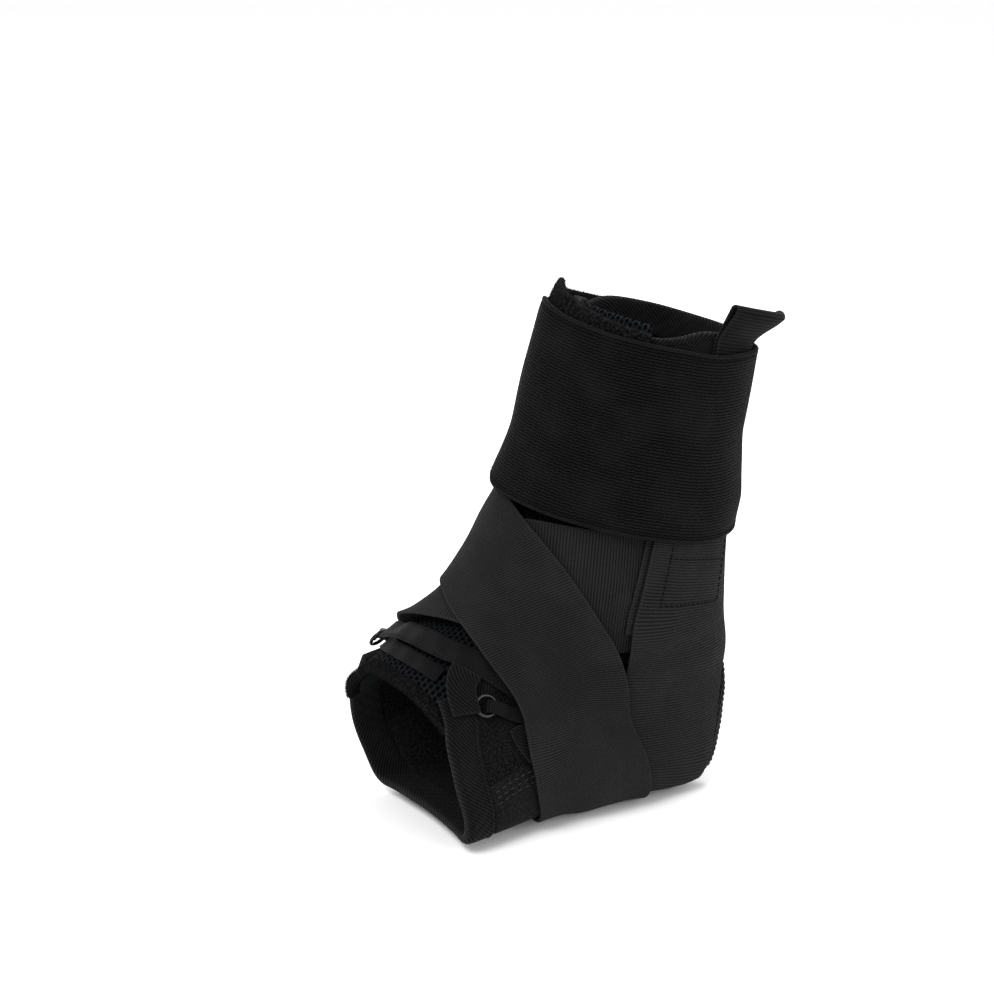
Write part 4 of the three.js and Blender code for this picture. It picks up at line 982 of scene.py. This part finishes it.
def pileNodes():
    # Short fibres that stand on the plush pieces.
    group, given, out = newGroup("pile", [
        ("Geometry", geometry, None), ("Density", number, 2e6), ("Fibre", number, 0.0012),
        ("Material", paintKind, None),
    ], [("Geometry", geometry)], "GeometryNodeTree")
    new = partial(newNode, group)
    spread = new("GeometryNodeDistributePointsOnFaces", {
        "Mesh": given["Geometry"], "Density": given["Density"], "Seed": 4})
    fibre = new("GeometryNodeMeshCone", {
        "Vertices": 3, "Radius Top": 0, "Radius Bottom": 0.00006, "Depth": given["Fibre"]})
    lean = new("FunctionNodeRandomValue", {0: (-0.9, -0.9, 0), 1: (0.9, 0.9, 6)}, data_type="FLOAT_VECTOR")
    turned = new("FunctionNodeRotateRotation", {0: spread["Rotation"], 1: lean[0]}, rotation_space="LOCAL")
    placing = new("GeometryNodeInstanceOnPoints", {
        "Points": spread["Points"], "Instance": fibre["Mesh"], "Rotation": turned[0]})
    return finished(group, given, out, placing[0])


def grow(name, source, group, wanted, slot):
    # Runs a node group on a source object and keeps the outcome as a plain mesh.
    modifier = source.modifiers.new(group.name, "NODES")
    modifier.node_group = group
    for item in group.interface.items_tree:
        if item.in_out == "INPUT" and item.name in wanted:
            modifier[item.identifier] = wanted[item.name]
    bpy.context.view_layer.update()
    done = bpy.data.meshes.new_from_object(source.evaluated_get(bpy.context.evaluated_depsgraph_get()))
    source.modifiers.remove(modifier)
    done.polygons.foreach_set("use_smooth", np.ones(len(done.polygons), bool))
    made = bpy.data.objects.new(name, done)
    bpy.context.scene.collection.objects.link(made)
    placed(made, slot)


stitches, pile = stitchNodes(), pileNodes()


def onFace(node, line, lift=0.1, spacing=0.7):
    # Points on a piece's outer face, evenly along a line given as (along, across) in millimetres.
    piece = pieces[node]
    u, v, grid = piece["cloth"]["u"], piece["cloth"]["v"], piece["cloth"]["grid"]
    line = np.array(line, float)
    walked = np.concatenate([[0], np.cumsum(np.linalg.norm(np.diff(line, axis=0), axis=1))])
    at = np.linspace(0, walked[-1], max(2, round(walked[-1] / spacing)))
    line = np.stack([np.interp(at, walked, line[:, k]) for k in (0, 1)], -1)
    i = np.clip(np.searchsorted(u, line[:, 0]) - 1, 0, len(u) - 2)
    j = np.clip(np.searchsorted(v, line[:, 1]) - 1, 0, len(v) - 2)
    s = ((line[:, 0] - u[i]) / (u[i + 1] - u[i]))[:, None]
    t = ((line[:, 1] - v[j]) / (v[j + 1] - v[j]))[:, None]

    def blend(a):
        return ((1 - s) * (1 - t) * a[i, j] + s * (1 - t) * a[i + 1, j]
                + (1 - s) * t * a[i, j + 1] + s * t * a[i + 1, j + 1])

    places, tops = blend(grid), blend(piece["tops"][..., None])[:, 0]
    return lifted(places, tops + lift)


seams = {  # thread, its pitch, and the length and radius of one stitch
    "binding": ("dark", 2.4, 1.7, 0.16), "cuff": ("dark", 1.7, 1.5, 0.22), "sole": ("grey", 3.2, 2.3, 0.24),
    "box": ("dark", 2.6, 2.0, 0.3), "tape": ("mid", 2, 1.4, 0.14), "stay": ("mid", 2, 1.4, 0.15),
}


def stitch(name, lines, slot, seam):
    thread, pitch, length, radius = seams[seam]
    mesh = bpy.data.meshes.new(name)
    points, links, start = [], [], 0
    for line in lines:
        points.append(line / 1000)
        links += [(start + k, start + k + 1) for k in range(len(line) - 1)]
        start += len(line)
    mesh.from_pydata(np.concatenate(points).tolist(), links, [])
    raw = bpy.data.objects.new(name + "_line", mesh)
    bpy.context.scene.collection.objects.link(raw)
    grow(name, raw, stitches, {"Pitch": pitch / 1000, "Length": length / 1000, "Thread": radius / 1000,
                               "Material": threads[thread]}, slot)
    bpy.data.objects.remove(raw)


def edgeRows(node, inset, margin=2):
    # One row of stitches along each side of a piece.
    u, v = pieces[node]["cloth"]["u"], pieces[node]["cloth"]["v"]
    return [onFace(node, [[margin, across], [u[-1] - margin, across]]) for across in (inset, v[-1] - inset)]


bindingInset = 2.6
for name, node in (("toe_binding_stitches", "toe_binding"), ("top_binding_stitches", "top_binding"),
                   ("heel_binding_stitches", "heel_binding"),
                   ("lacing_stitches_lateral", "lacing_binding_lateral"),
                   ("lacing_stitches_medial", "lacing_binding_medial")):
    stitch(name, edgeRows(node, bindingInset), "twill", "binding")

# The cuff's hems, and the row that closes its outer end
closing = {"inset": 3, "low": 4, "high": 72}
closeAt = band["u"][-1] - closing["inset"]
closeRow = onFace("cuff", [[closeAt, closing["low"]], [closeAt, closing["high"]]])
stitch("cuff_stitches", edgeRows("cuff", cuff["hem"]) + [closeRow], "elastic", "cuff")

soleRows = {"rows": (3, 5.3, 7.6), "from": 62, "margin": 3}
sling = pieces["sole_sling"]["cloth"]
slingWidth, slingEnd = sling["v"][-1], sling["u"][-1] - soleRows["margin"]
for side in ("lateral", "medial"):
    rows = [across if side == "lateral" else slingWidth - across for across in soleRows["rows"]]
    lines = [onFace("sole_sling", [[soleRows["from"], v], [slingEnd, v]]) for v in rows]
    stitch("sole_stitches_" + side, lines, "elastic", "sole")

# Fibres to the square millimetre, and their length
for node, density, fibre in (("tongue_edge", 9, 1.3), ("underwrap", 3.5, 1.1)):
    grow(node + "_pile", pieces[node]["object"], pile,
         {"Density": density * 1e6, "Fibre": fibre / 1000, "Material": materials["pile"]}, "plush")
print("stage: pile")

# Sewn boxes that close the straps' ends; near, far and tail are lengths from the end
box = {"near": 30, "far": 48, "left": 42, "right": 11, "tail": 23}
for node in ("inner_strap", "outer_strap"):
    near, far, tail = [pieces[node]["cloth"]["u"][-1] - box[key] for key in ("near", "far", "tail")]
    left, right = box["left"], box["right"]
    lines = [[[tail, left], [far, left], [far, right], [tail, right]], [[near, left], [near, right]]]
    stitch(node + "_box_stitches", [onFace(node, line) for line in lines], "webbing", "box")
for seam, slot, first, last, across in (
        ("tape", "satin", 3, 71, (1.2, 8.8)), ("stay", "twill", 1.5, 14, (1.2, 5.8))):
    lines = [onFace("lace_" + seam, [[first, at], [last, at]]) for at in across]
    stitch(seam + "_stitches", lines, slot, seam)
print("stage: stitches")

# Floor, lights and camera
photo = {
    "azimuth": 59.3, "elevation": 18, "distance": 1.1, "rightward": -0.0365, "height": 0.1274,
    "lens": 97.63, "sensor": 36,
}
bpy.ops.mesh.primitive_plane_add(size=24)
floor = bpy.context.object
floor.name = "floor"
floor.data.materials.append(newMaterial("pale floor", 0.9, 0.5, (0.95, 0.95, 0.95))[0])
world = bpy.data.worlds.new("studio")
bpy.context.scene.world = world
world.use_nodes = True
world.node_tree.nodes["Background"].inputs["Color"].default_value = (1, 1, 1, 1)
world.node_tree.nodes["Background"].inputs["Strength"].default_value = 1.0


def addLight(name, place, energy, size):
    data = bpy.data.lights.new(name, "AREA")
    data.energy, data.size = energy, size
    lamp = bpy.data.objects.new(name, data)
    lamp.location = place
    lamp.rotation_euler = (Vector((0, 0, 0.1)) - Vector(place)).to_track_quat("-Z", "Y").to_euler()
    bpy.context.scene.collection.objects.link(lamp)


for name, place, energy, size in (("key", (0.5, -0.9, 1.2), 16, 0.6), ("fill", (1.3, 0.5, 0.6), 7, 0.8),
                                  ("back", (-0.6, 0.6, 1.1), 9, 0.7)):
    addLight(name, place, energy, size)
azimuth, elevation = math.radians(photo["azimuth"]), math.radians(photo["elevation"])
backward = Vector((math.sin(azimuth) * math.cos(elevation), -math.cos(azimuth) * math.cos(elevation),
                   math.sin(elevation)))
rightward = Vector((math.cos(azimuth), math.sin(azimuth), 0))
camera = bpy.data.objects.new("camera", bpy.data.cameras.new("camera"))
camera.data.lens, camera.data.sensor_width = photo["lens"], photo["sensor"]
aim = rightward * photo["rightward"] + Vector((0, 0, photo["height"]))
camera.location = aim + backward * photo["distance"]
camera.rotation_euler = backward.to_track_quat("Z", "Y").to_euler()
bpy.context.scene.collection.objects.link(camera)
bpy.context.scene.camera = camera
bpy.context.scene.view_settings.view_transform = "Standard"

print("stage: done")
